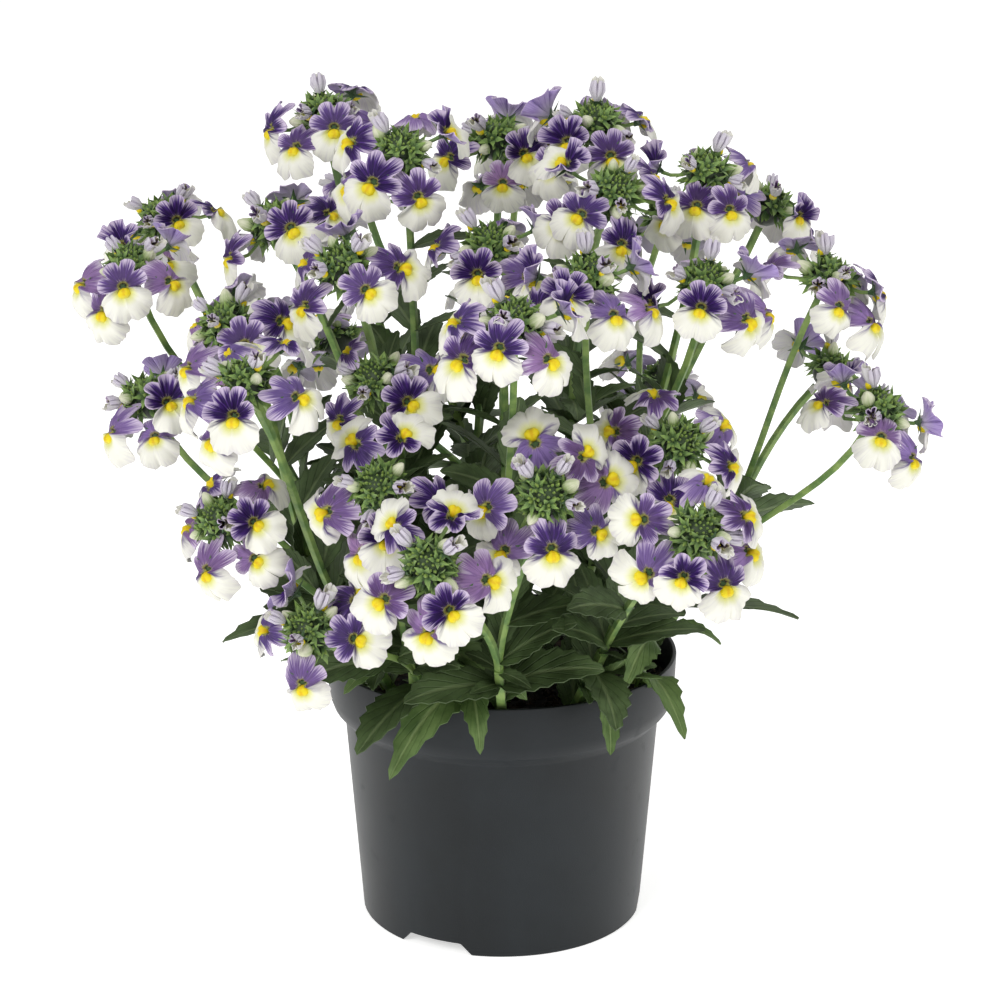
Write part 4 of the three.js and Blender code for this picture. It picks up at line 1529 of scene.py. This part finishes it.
    def stalk(self, shop: Workshop, place: Place, seat: Vector) -> Piece:
        """Makes the stalk from the rosette to the back of one bloom.

        Args:
            shop: the workshop.
            place: the bloom's place.
            seat: where the stalk leaves the solid rosette.

        Returns:
            The stalk.
        """
        end = place.at(0.0, 0.0, self.stalk_end)
        inside = seat + (seat - end).normalized() * self.stalk_root
        reach = (end - inside).length * self.stalk_bend
        path = Curve(inside, end - place.out * reach, end)
        return shop.tube("stalk", path, lambda share: 0.55 + 0.25 * share, 5, 3)

    def nod(self, draws: Draws) -> Matrix:
        """Draws how a bloom nods and how large it is.

        Args:
            draws: the head's draws.

        Returns:
            The transform, before the one that takes the bloom to its place.
        """
        nod = Matrix.Identity(4)
        for axis, (low, high) in zip("XYZ", self.nods):
            nod @= Matrix.Rotation(math.radians(draws.between(low, high)), 4, axis)
        return nod @ Matrix.Scale(draws.between(*self.bloom_size), 4)

    def build(self, shop: Workshop, models: "HeadModels") -> None:
        """Makes the head's blooms and its greenery.

        Args:
            shop: the workshop.
            models: what is copied.
        """
        draws = Draws(self.seed + self.number)
        blooms, greens = [], []
        for slot, (place, seat) in enumerate(zip(self.places, self.seats)):
            weariness = self.wear_by_slot * slot + draws.between(0.0, self.wear_by_chance)
            weariness = min(1.0, weariness)
            tint = (weariness, draws.share(), draws.share())
            choices = models.blooms[BloomAge.worn(weariness)]
            choice = choices[int(draws.share() * len(choices))]
            spot = place.matrix() @ self.nod(draws)
            blooms.append(shop.copy(choice, spot, tint))
            greens.append(shop.copy(models.calyx, spot, tint))
            stalk = shop.tinted(self.stalk(shop, place, seat), tint)
            stalk.data.materials.append(models.stalk)
            greens.append(stalk)
        taken = [place.throat for place in self.places]
        for i in range(self.half_open):
            options = [self.close_place(draws) for _ in range(self.half_open_tries)]
            place = max(options, key=lambda option: min((option.throat - t).length for t in taken))
            taken.append(place.throat)
            tint = (draws.between(0.9, 1.2), draws.share(), 0.1 * draws.share())
            choices = models.blooms[BloomAge.OPENING]
            blooms.append(shop.copy(choices[i % len(choices)], place.matrix(), tint))
            greens.append(shop.copy(models.calyx, place.matrix(), tint))
        rosette = models.rosettes[self.number % len(models.rosettes)]
        spin = Matrix.Rotation(math.radians(draws.between(0, 360)), 4, "Z")
        spot = Matrix.Translation(self.at) @ self.attitude.to_matrix().to_4x4() @ spin
        greens.append(shop.copy(rosette, spot @ Matrix.Scale(self.rosette_scale, 4)))
        shop.hand_over("blooms_" + self.label, blooms, "bloom", "head_" + self.label)
        shop.hand_over("greens_" + self.label, greens, "green")


@dataclass
class HeadModels:
    """What the flower heads are copied from."""

    blooms: dict[BloomAge, list[Piece]]
    calyx: Piece
    rosettes: list[Piece]
    stalk: Material

    @classmethod
    def build(cls, shop: Workshop) -> "HeadModels":
        """Models each bloom, the calyx and the rosettes.

        Args:
            shop: the workshop.

        Returns:
            The models.
        """
        petals = (PetalFace().make(), PetalBack().make(), Palate().make())
        # The core's near-black green is painted shade, seen in the gaps between the parts set on it
        core = BudSkin("rosette_core_painted_shade", "18240f", "2a3f18", 6.0).make()
        knob = BudSkin("bud_green", "4a6c2e", "98b04e", 3.4).make()
        sepal = BudSkin("sepal", "36562b", "8cab55", 5.4).make()
        bud = BudSkin("bud_pale", "86a052", "d9dabf", 2.6).make()
        skins = (core, knob, sepal, bud)
        blooms = {age: [Bloom(age, seed).build(shop, petals) for seed in (2, 7, 10)]
                  for age in (BloomAge.FRESH, BloomAge.OPEN, BloomAge.FADING)}
        blooms[BloomAge.OPENING] = [
            Bloom(BloomAge.OPENING, seed, lobe_columns=4, lip_columns=6,
                  ring_shares=(0.0, 0.3, 0.65, 1.0)).build(shop, petals) for seed in (3, 5)]
        return cls(
            blooms,
            Calyx().build(shop, sepal),
            [Rosette(seed).build(shop, skins) for seed in (901, 902, 903)],
            Stalk().make(),
        )


@dataclass
class LeafForm:
    """The form of one leaf: the curve of its midrib, its half width and its upper side, in mm."""

    base: Vector
    knee: Vector
    tip: Vector
    half_width: float
    top: Vector
    last_station: float

    def bent(self, bend: Sequence[float]) -> "LeafForm":
        """Turns the leaf about its foot.

        Args:
            bend: a row of LEAF_BENDS.

        Returns:
            The turned form.
        """
        round_by, rise, share = bend
        side = (self.tip - self.base).cross(self.top).normalized()
        turn = (Matrix.Rotation(math.radians(round_by), 3, self.top.normalized())
                @ Matrix.Rotation(math.radians(rise), 3, side))
        knee = self.base + turn @ (self.knee - self.base) * share
        tip = self.base + turn @ (self.tip - self.base) * share
        return replace(self, knee=knee, tip=tip, half_width=self.half_width * share)

    def across(self, share: float) -> tuple[Vector, Vector, Vector]:
        """Finds the leaf's directions at one share of it.

        Args:
            share: how far along the leaf.

        Returns:
            The midrib's point, the direction to one side and the one to the upper side.
        """
        path = Curve(self.base, self.knee, self.tip)
        along = path.tangent(share)
        side = along.cross(self.top).normalized()
        return path.point(share), side, side.cross(along).normalized()

    def marks(self) -> list[Vector]:
        """Finds corners that the leaf has in the frame.

        Returns:
            Its tip and its last pair of teeth.
        """
        share = self.last_station
        at, side, up = self.across(share)
        reach = Leaf.width_share(share) * self.half_width
        edges = [at + side * reach * sign + up * reach * Leaf.FOLD for sign in (-1, 1)]
        return [self.tip, *edges]


class Leaf:
    """A toothed lanceolate leaf, modelled flat and then laid along each leaf's midrib."""

    FOLD = 0.25
    LENGTH = 40.0
    HALF_WIDTH = 7.0
    ROWS = 14
    SWELL = 0.55
    TAPER = 0.9
    WIDEST = 0.382
    TOOTH = (1.1, 0.93)
    TOOTH_LEAN = 1.0
    WAVE = 0.35
    THICKNESS = 0.36

    def __init__(self, shop: Workshop, blade: Material) -> None:
        """Models the leaf.

        Args:
            shop: the workshop.
            blade: its finish.
        """
        self.shop = shop
        leaf = shop.sheet("leaf", 4, self.ROWS, self.shape, self.form, UP)
        leaf.data.materials.append(blade)
        shop.modify(leaf, "SOLIDIFY", thickness=self.THICKNESS, offset=-1.0)
        shop.smooth(leaf, 40)
        self.model = shop.keep_model(leaf)

    @staticmethod
    def width_share(share: float) -> float:
        """Returns a leaf's half width at one share of its length, over its widest."""
        return share ** Leaf.SWELL * (1 - share) ** Leaf.TAPER / Leaf.WIDEST

    def shape(self, u: float, v: float) -> Vector:
        """Finds the place of one point of the flat leaf.

        Args:
            u: its share across the leaf.
            v: its share along the leaf.

        Returns:
            Its place.
        """
        across = 2 * u - 1
        row = round(v * self.ROWS)
        edge = abs(across) > 0.9 and 0 < row < self.ROWS
        point, gap = self.TOOTH
        tooth = (point if row % 2 else gap) if edge else 1.0
        x = across * self.HALF_WIDTH * self.width_share(v) * tooth
        forward = self.TOOTH_LEAN if edge and row % 2 else 0.0
        wave = self.WAVE * math.sin(9 * v + 2 * across) * abs(across)
        return Vector((x, v * self.LENGTH + forward, abs(x) * self.FOLD + wave))

    @staticmethod
    def form(u: float, v: float) -> Vector:
        """Returns a point's share along the leaf and its place across it from -1 to 1."""
        return Vector((v, 2 * u - 1, 0.0))

    def grow(self, form: LeafForm, tint: Sequence[float]) -> Piece:
        """Lays a copy of the leaf along one form.

        Args:
            form: where it goes.
            tint: three numbers that its finish reads.

        Returns:
            The leaf.
        """
        leaf = self.shop.copy(self.model, Matrix.Identity(4), tint)
        scale = form.half_width / self.HALF_WIDTH
        for vertex in leaf.data.vertices:
            x, y, z = vertex.co
            at, side, up = form.across(min(max(y / self.LENGTH, 0.0), 1.0))
            vertex.co = at + side * x * scale + up * z * scale
        return leaf


@dataclass
class LeafyStem:
    """A stem: a trunk out of the soil, branches to its heads, and leaves in pairs, in mm.

    The fields down to last_station are those of the part's source. A leaf's three numbers are its
    share along the stem, its length and its half width. The filling leaves get shorter up a stem
    by fill_taper, and keep off the soil, the throats and the pot's rim. Their tips stay within
    fill_spread: the widest reach, how fast it narrows, and the height where it is widest.
    """

    index: int
    root: tuple[float, float]
    heads: list[FlowerHead]
    root_height: float = 80.0
    soil_height: float = 91.0
    fork_share: float = 0.36
    fork_rise: float = 0.3
    branch_reach: float = 0.36
    trunk_radius: float = 2.3
    branch_radius: float = 1.6
    seat: float = 7.8
    rise: float = 36.0
    droop: float = 0.2
    knee: float = 0.55
    foot_depth: float = 0.7
    trunk_leaf: tuple[float, float, float] = (0.8, 46.0, 8.0)
    branch_leaf: tuple[float, float, float] = (0.3, 36.0, 6.6)
    last_station: float = 0.62
    trunk_shares: tuple[float, ...] = (0.3, 0.45, 0.6, 0.8, 0.98)
    branch_shares: tuple[float, ...] = (0.06, 0.16, 0.27, 0.38, 0.5, 0.62, 0.74)
    fill_length: tuple[float, float] = (26.0, 40.0)
    fill_taper: tuple[float, float] = (1.15, 0.6)
    fill_width: tuple[float, float] = (0.14, 0.19)
    fill_turn: tuple[float, float] = (-40.0, 40.0)
    fill_rise: tuple[float, float] = (-24.0, 20.0)
    fill_spread: tuple[float, float, float] = (100.0, 0.45, 135.0)
    soil_gap: float = 4.0
    throat_gap: float = 11.0
    rim_reach: float = 54.0
    rim_height: float = 107.0
    rim_shares: tuple[float, ...] = (0.4, 0.55, 0.7, 0.85, 1.0)
    seeds: tuple[int, int] = (700, 800)

    def __post_init__(self) -> None:
        """Works out the trunk and the branches."""
        root = Vector((*self.root, self.root_height))
        middle = sum((head.at for head in self.heads), Vector()) / len(self.heads)
        start = Vector((*self.root, self.soil_height))
        fork = start.lerp(middle, self.fork_share)
        fork.z = start.z + (middle.z - start.z) * self.fork_rise
        self.trunk = Curve(root, fork)
        self.branches = [self.branch(fork, head) for head in self.heads]

    def branch(self, fork: Vector, head: FlowerHead) -> Curve:
        """Finds the curve of one branch.

        Args:
            fork: where the stem forks.
            head: the head at the branch's end.

        Returns:
            The curve.
        """
        along = self.trunk.tangent(0.0)
        start = fork - along * self.branch_radius
        end = head.at - head.axis * self.seat
        reach = (end - start).length * self.branch_reach
        return Curve(start, start + along * reach, end - head.axis * reach, end)

    def leaf_form(
        self, path: Curve, size: tuple[float, float, float], side: int, raised: bool
    ) -> LeafForm:
        """Finds the form of one leaf of a pair.

        Args:
            path: the stem that it leaves.
            size: its share along the stem, its length and its half width.
            side: 1 or -1 for either leaf of the pair.
            raised: whether the pair stands square to the stem's level direction.

        Returns:
            The form.
        """
        share, length, half_width = size
        along, level, upper = path.square(share)
        climb = math.radians(self.rise)
        out = (upper if raised else level) * side * math.cos(climb) + along * math.sin(climb)
        base = path.point(share) - out * self.foot_depth
        tip = base + out * length
        tip.z -= length * self.droop
        knee = base + out * length * self.knee
        return LeafForm(base, knee, tip, half_width, along, self.last_station)

    def built_leaves(self, name: str) -> list[LeafForm]:
        """Finds the leaves that the frame has on this stem.

        Args:
            name: the stem's node.

        Returns:
            Their forms.
        """
        corners = Corners(name)
        wanted = [self.leaf_form(self.trunk, self.trunk_leaf, side, bool(self.index % 2))
                  for side in (-1, 1)]
        wanted += [self.leaf_form(path, self.branch_leaf, 1, bool(order % 2))
                   for order, path in enumerate(self.branches)]
        return [form for form in map(lambda leaf: found_leaf(leaf, corners), wanted) if form]

    def clears_rim(self, form: LeafForm, share: float) -> bool:
        """Tells whether one point of a leaf's midrib keeps clear of the pot's rim."""
        point = form.across(share)[0]
        return math.hypot(point.x, point.y) < self.rim_reach or point.z > self.rim_height

    def filling_leaves(self, throats: kdtree.KDTree) -> list[LeafForm]:
        """Finds places for the many smaller leaves inside the plant.

        Args:
            throats: the throats of all blooms, which leaves keep away from.

        Returns:
            The leaves' forms.
        """
        draws = Draws(self.seeds[0] + self.index)
        forms = []
        rows = [(self.trunk, share) for share in self.trunk_shares]
        rows += [(path, share) for path in self.branches for share in self.branch_shares]
        full, loss = self.fill_taper
        reach, slope, middle = self.fill_spread
        for order, (path, share) in enumerate(rows):
            for side in (-1, 1):
                length = draws.between(*self.fill_length) * (full - loss * share)
                size = (share, length, length * draws.between(*self.fill_width))
                form = self.leaf_form(path, size, side, bool((order + self.index) % 2))
                form = form.bent((draws.between(*self.fill_turn), draws.between(*self.fill_rise), 1))
                x, y, z = form.tip
                low = z < self.soil_height + self.soil_gap
                wide = math.hypot(x, y) > reach - slope * abs(z - middle)
                close = throats.find(form.tip)[2] <= self.throat_gap
                clear = all(self.clears_rim(form, station) for station in self.rim_shares)
                if clear and not (low or wide or close):
                    forms.append(form)
        return forms

    def build(self, shop: Workshop, leaf: Leaf, bark: Material, throats: kdtree.KDTree) -> None:
        """Makes the stem with its leaves.

        Args:
            shop: the workshop.
            leaf: the leaf that is copied.
            bark: the stem's finish.
            throats: the throats of all blooms.
        """
        name = f"stem_{self.index + 1:02d}"
        rods = [shop.tube("trunk", self.trunk, lambda _: self.trunk_radius * SQUARE_SIDE, 8, 4,
                          SQUARE_CORNER)]
        rods += [shop.tube("branch", path, lambda _: self.branch_radius * SQUARE_SIDE, 8, 10,
                           SQUARE_CORNER) for path in self.branches]
        for rod in rods:
            shop.smooth(rod, 60)
            rod.data.materials.append(bark)
            shop.tinted(rod, (0.0, 0.0, 0.0))
        draws = Draws(self.seeds[1] + self.index)
        forms = self.built_leaves(name) + self.filling_leaves(throats)
        leaves = [leaf.grow(form, (draws.share() * 0.5, draws.share(), draws.share()))
                  for form in forms]
        shop.hand_over("leafy_" + name, rods + leaves, "green", name)


def found_leaf(form: LeafForm, corners: Corners) -> LeafForm | None:
    """Returns a leaf's form under the bend that its node has it in, or None where it has none."""
    options = (form.bent(bend) for bend in LEAF_BENDS)
    return next((option for option in options if corners.matched(option.marks()) >= 2), None)


@dataclass
class Shoot:
    """A young leafy shoot at the pot's rim, in mm. A leaf that hangs by hang_drop or more turns
    its upper side outwards."""

    number: int
    root: tuple[float, float]
    tip: tuple[float, float, float]
    leaves: tuple[tuple, ...]
    root_height: float = 80.0
    radius: float = 1.5
    foot_depth: float = 0.7
    last_station: float = 0.72
    hang_drop: float = 12.0
    hang_lift: float = 0.2
    seed: int = 600

    def hung(self, form: LeafForm) -> LeafForm:
        """Turns a leaf's upper side outwards by how far it hangs.

        Args:
            form: the leaf's form.

        Returns:
            The turned form.
        """
        outward = Vector((form.tip.x, form.tip.y, 0.0)).normalized()
        hang = min(max((form.base.z - form.tip.z) / self.hang_drop, 0.0), 1.0)
        return replace(form, top=UP.lerp(outward + self.hang_lift * UP, hang))

    def build(self, shop: Workshop, leaf: Leaf, bark: Material) -> None:
        """Makes the shoot with its leaves.

        Args:
            shop: the workshop.
            leaf: the leaf that is copied.
            bark: the stem's finish.
        """
        name = f"shoot_{self.number}"
        path = Curve(Vector((*self.root, self.root_height)), Vector(self.tip))
        rod = shop.tube("shoot", path, lambda share: self.radius * (0.8 - 0.25 * share), 8, 4,
                        SQUARE_CORNER)
        shop.smooth(rod, 60)
        rod.data.materials.append(bark)
        parts = [shop.tinted(rod, (0.0, 0.0, 0.0))]
        corners = Corners(name)
        draws = Draws(self.seed + self.number)
        for share, knee, end, half_width in self.leaves:
            base = path.point(share)
            base -= (Vector(knee) - base).normalized() * self.foot_depth
            form = LeafForm(base, Vector(knee), Vector(end), half_width, UP, self.last_station)
            form = found_leaf(form, corners)
            if form:
                tint = (draws.share(), draws.share(), draws.share())
                parts.append(leaf.grow(self.hung(form), tint))
        shop.hand_over("leafy_" + name, parts, "green", name)


@dataclass
class Pot:
    """The nursery pot: a round moulded wall with a stepped rim band and three feet, in mm.

    A point of its profile is a radius and a height, from the floor's middle up the outside and
    down the inside. A gap between two feet is wider at the ground than at its top.
    """

    steps: int = 128
    profile: tuple[tuple[float, float], ...] = (
        (0, 5), (49.4, 5), (49.4, 0.4), (49.8, 0), (52.0, 0), (52.4, 0.4), (58.45, 76.6),
        (58.9, 77.6), (62.1, 80.7), (62.7, 81.5), (64.3, 86), (64.95, 100.2), (64.8, 100.8),
        (64.3, 101), (63.7, 100.9), (63.4, 100.4), (62.2, 84), (56.9, 77.5), (51.2, 6.5), (0, 6.5),
    )
    gap_angles: tuple[float, ...] = (-118, 2, 122)
    gap_widths: tuple[float, float] = (31.0, 21.0)
    gap_heights: tuple[float, float] = (-1.0, 4.5)
    gap_middle: float = 51.0
    gap_depth: float = 12.0
    gap_bevel: float = 0.8
    drains: int = 4
    drain_ring: float = 34.0
    drain_radius: float = 4.5
    drain_middle: float = 5.75
    drain_depth: float = 6.0

    def wall(self, shop: Workshop) -> Piece:
        """Models the pot before its floor and its foot are cut.

        Args:
            shop: the workshop.

        Returns:
            The pot.
        """
        shop.deselect()
        bpy.ops.mesh.primitive_circle_add(vertices=len(self.profile), radius=1.0)
        pot = bpy.context.object
        for vertex, (radius, height) in zip(pot.data.vertices, self.profile):
            vertex.co = Vector((radius, 0.0, height))
        bpy.ops.object.mode_set(mode="EDIT")
        bpy.ops.mesh.select_all(action="SELECT")
        bpy.ops.mesh.spin(steps=self.steps, angle=2 * math.pi, center=(0, 0, 0), axis=(0, 0, 1))
        bpy.ops.mesh.select_all(action="SELECT")
        bpy.ops.mesh.remove_doubles(threshold=0.01)
        bpy.ops.mesh.normals_make_consistent(inside=False)
        bpy.ops.object.mode_set(mode="OBJECT")
        return pot

    def cutters(self, shop: Workshop) -> list[Piece]:
        """Models the gaps between the feet and the drain holes as bodies.

        Args:
            shop: the workshop.

        Returns:
            The bodies, to be cut out of the pot.
        """
        bodies = []
        for angle in self.gap_angles:
            shop.deselect()
            bpy.ops.mesh.primitive_cube_add(size=1.0)
            gap = bpy.context.object
            for vertex in gap.data.vertices:
                x, y, z = vertex.co
                end = 1 if z > 0 else 0
                out = self.gap_middle + x * self.gap_depth
                vertex.co = Vector((out, y * self.gap_widths[end], self.gap_heights[end]))
            shop.modify(gap, "BEVEL", width=self.gap_bevel, segments=2)
            gap.data.transform(Matrix.Rotation(math.radians(angle), 4, "Z"))
            bodies.append(gap)
        for i in range(self.drains):
            turn = 2 * math.pi * (i + 0.5) / self.drains
            x, y = self.drain_ring * math.cos(turn), self.drain_ring * math.sin(turn)
            bpy.ops.mesh.primitive_cylinder_add(
                vertices=24, radius=self.drain_radius, depth=self.drain_depth,
                location=(x, y, self.drain_middle))
            bodies.append(bpy.context.object)
        return bodies

    def build(self, shop: Workshop, plastic: Material) -> None:
        """Makes the pot.

        Args:
            shop: the workshop.
            plastic: its finish.
        """
        pot = self.wall(shop)
        for cutter in self.cutters(shop):
            shop.modify(pot, "BOOLEAN", object=cutter, operation="DIFFERENCE", solver="EXACT")
            bpy.data.objects.remove(cutter)
        shop.smooth(pot, 35)
        pot.data.materials.clear()
        pot.data.materials.append(plastic)
        shop.hand_over("nursery_pot", [pot], "pot", "pot")


@dataclass
class Soil:
    """The peat in the pot: an uneven surface strewn with crumbs, in mm.

    A row of lumps has its part in the swell, the level that its noise is taken at, and its scale.
    """

    edge_radius: float = 62.2
    edge_height: float = 88.5
    crown_height: float = 91.0
    side: tuple[tuple[float, float], ...] = ((60.9, 84.2), (56.2, 77.4), (50.0, 7.0), (0.0, 7.0))
    swell: float = 1.3
    lumps: tuple[tuple[float, float, float], ...] = ((1.0, 3.0, 0.09), (0.5, 9.0, 0.3))
    columns: int = 72
    rows: int = 18
    crumbs: int = 560
    crumb_size: tuple[float, float] = (0.5, 1.7)
    crumb_form: tuple[float, float, float] = (1.3, 1.0, 0.7)
    crumb_margin: float = 1.5
    seed: int = 77

    def height(self, x: float, y: float) -> float:
        """Finds the height of the surface at one place.

        Args:
            x: the place across.
            y: the place in depth.

        Returns:
            The height.
        """
        share = min(1.0, math.hypot(x, y) / self.edge_radius)
        slope = self.crown_height + (self.edge_height - self.crown_height) * share
        bumps = sum(part * noise.noise(Vector((x, y, level)) * scale)
                    for part, level, scale in self.lumps)
        return slope + self.swell * bumps * min(1.0, 1.4 - share)

    def shape(self, u: float, v: float) -> Vector:
        """Finds the place of one point of the soil's skin.

        Args:
            u: its share round the pot.
            v: its share from the middle out, down the side and back under the soil.

        Returns:
            Its place.
        """
        row = round(v * self.rows)
        turn = 2 * math.pi * (round(u * self.columns) % self.columns) / self.columns
        last = self.rows - len(self.side)
        if row > last:
            radius, height = self.side[row - last - 1]
            return Vector((radius * math.cos(turn), radius * math.sin(turn), height))
        radius = self.edge_radius * row / last
        x, y = radius * math.cos(turn), radius * math.sin(turn)
        return Vector((x, y, self.height(x, y)))

    def build(self, shop: Workshop, peat: Material) -> None:
        """Makes the soil.

        Args:
            shop: the workshop.
            peat: its finish.
        """
        body = shop.sheet("soil_body", self.columns, self.rows, self.shape)
        body.data.materials.append(peat)
        shop.smooth(body, 60)
        shop.deselect()
        bpy.ops.mesh.primitive_ico_sphere_add(subdivisions=1, radius=1.0)
        crumb = bpy.context.object
        for vertex in crumb.data.vertices:
            vertex.co *= 1.0 + 0.35 * noise.noise(vertex.co * 2.3)
        crumb.data.materials.append(peat)
        shop.keep_model(crumb)
        draws = Draws(self.seed)
        parts = [body]
        least, gain = self.crumb_size
        for _ in range(self.crumbs):
            radius = (self.edge_radius - self.crumb_margin) * math.sqrt(draws.share())
            turn = draws.between(0, 2 * math.pi)
            x, y = radius * math.cos(turn), radius * math.sin(turn)
            size = least + gain * draws.share() ** 2
            spot = Matrix.Translation((x, y, self.height(x, y) + 0.2 * size))
            spot @= Matrix.Rotation(draws.between(0, 2 * math.pi), 4, "X")
            spot @= Matrix.Rotation(draws.between(0, 2 * math.pi), 4, "Z")
            spot @= Matrix.Diagonal((*(size * stretch for stretch in self.crumb_form), 1.0))
            parts.append(shop.copy(crumb, spot))
        shop.hand_over("peat_soil", parts, "soil", "soil")


@dataclass(frozen=True)
class Lamp:
    """A soft square light: its name, its place and its side in metres, and its power in watts."""

    name: str
    place: tuple[float, float, float]
    size: float
    power: float


@dataclass
class Studio:
    """The floor, the lights and the camera, in metres and degrees."""

    camera_place: tuple[float, float, float] = (-0.0006, -1.0, 0.457)
    camera_pitch: float = 73.37
    lens: float = 102.6
    sensor: float = 36.0
    floor_size: float = 60.0
    world_strength: float = 0.46
    aim: tuple[float, float, float] = (0.0, 0.0, 0.18)
    lamps: tuple[Lamp, ...] = (
        Lamp("key_light", (-1.1, -1.7, 1.7), 1.0, 27.0),
        Lamp("fill_light", (1.6, -1.2, 1.0), 1.4, 8.0),
        Lamp("back_light", (0.5, 1.5, 1.9), 1.2, 10.0),
    )

    def hang(self, lamp: Lamp) -> None:
        """Hangs a light that points at the plant.

        Args:
            lamp: the light.
        """
        light = bpy.data.lights.new(lamp.name, "AREA")
        light.size = lamp.size
        light.energy = lamp.power
        holder = bpy.data.objects.new(lamp.name, light)
        holder.location = lamp.place
        aim = Vector(self.aim) - Vector(lamp.place)
        holder.rotation_euler = aim.to_track_quat("-Z", "Y").to_euler()
        bpy.context.scene.collection.objects.link(holder)

    def lay_floor(self, shop: Workshop) -> None:
        """Lays the floor.

        Args:
            shop: the workshop.
        """
        shop.deselect()
        bpy.ops.mesh.primitive_plane_add(size=self.floor_size)
        floor = bpy.context.object
        floor.name = "studio_floor"
        floor.data.materials.append(StudioFloor().make())

    def light_world(self) -> None:
        """Lights everything evenly from all round."""
        world = bpy.data.worlds.new("studio_world")
        world.use_nodes = True
        background = world.node_tree.nodes["Background"]
        background.inputs["Color"].default_value = (1.0, 1.0, 1.0, 1.0)
        background.inputs["Strength"].default_value = self.world_strength
        bpy.context.scene.world = world

    def set_camera(self) -> None:
        """Sets the camera where the photograph was taken from."""
        camera = bpy.data.cameras.new("studio_camera")
        camera.lens = self.lens
        camera.sensor_width = self.sensor
        holder = bpy.data.objects.new("studio_camera", camera)
        holder.location = self.camera_place
        holder.rotation_euler = (math.radians(self.camera_pitch), 0.0, 0.0)
        bpy.context.scene.collection.objects.link(holder)
        bpy.context.scene.camera = holder
        bpy.context.scene.view_settings.view_transform = "Standard"

    def build(self, shop: Workshop) -> None:
        """Makes the studio.

        Args:
            shop: the workshop.
        """
        self.lay_floor(shop)
        for lamp in self.lamps:
            self.hang(lamp)
        self.light_world()
        self.set_camera()


def main() -> None:
    """Builds the dressed plant, piece by piece."""
    logging.basicConfig(level=logging.INFO, format="%(message)s")
    shop = Workshop()
    Studio().build(shop)
    Pot().build(shop, PotPlastic().make())
    Soil().build(shop, Peat().make())
    models = HeadModels.build(shop)
    heads, stems = [], []
    for index, (root, rows) in enumerate(STEMS):
        own = [FlowerHead(len(heads) + order + 1, row) for order, row in enumerate(rows)]
        heads += own
        stems.append(LeafyStem(index, root, own))
    for head in heads:
        head.find_blooms()
        head.build(shop, models)
    LOG.info("open blooms: %d", sum(len(head.places) for head in heads))
    places = [place for head in heads for place in head.places]
    throats = kdtree.KDTree(len(places))
    for index, place in enumerate(places):
        throats.insert(place.throat, index)
    throats.balance()
    bark = Stalk("stem", "88a354", "567a38").make()
    leaf = Leaf(shop, LeafBlade().make())
    for stem in stems:
        stem.build(shop, leaf, bark, throats)
    young = Leaf(shop, LeafBlade("young_leaf", "496230", "6e874d", "9cb074").make())
    for number, row in enumerate(SHOOTS, 1):
        Shoot(number, *row).build(shop, young, bark)
    shop.clear_bench()


if __name__ == "__main__":
    main()
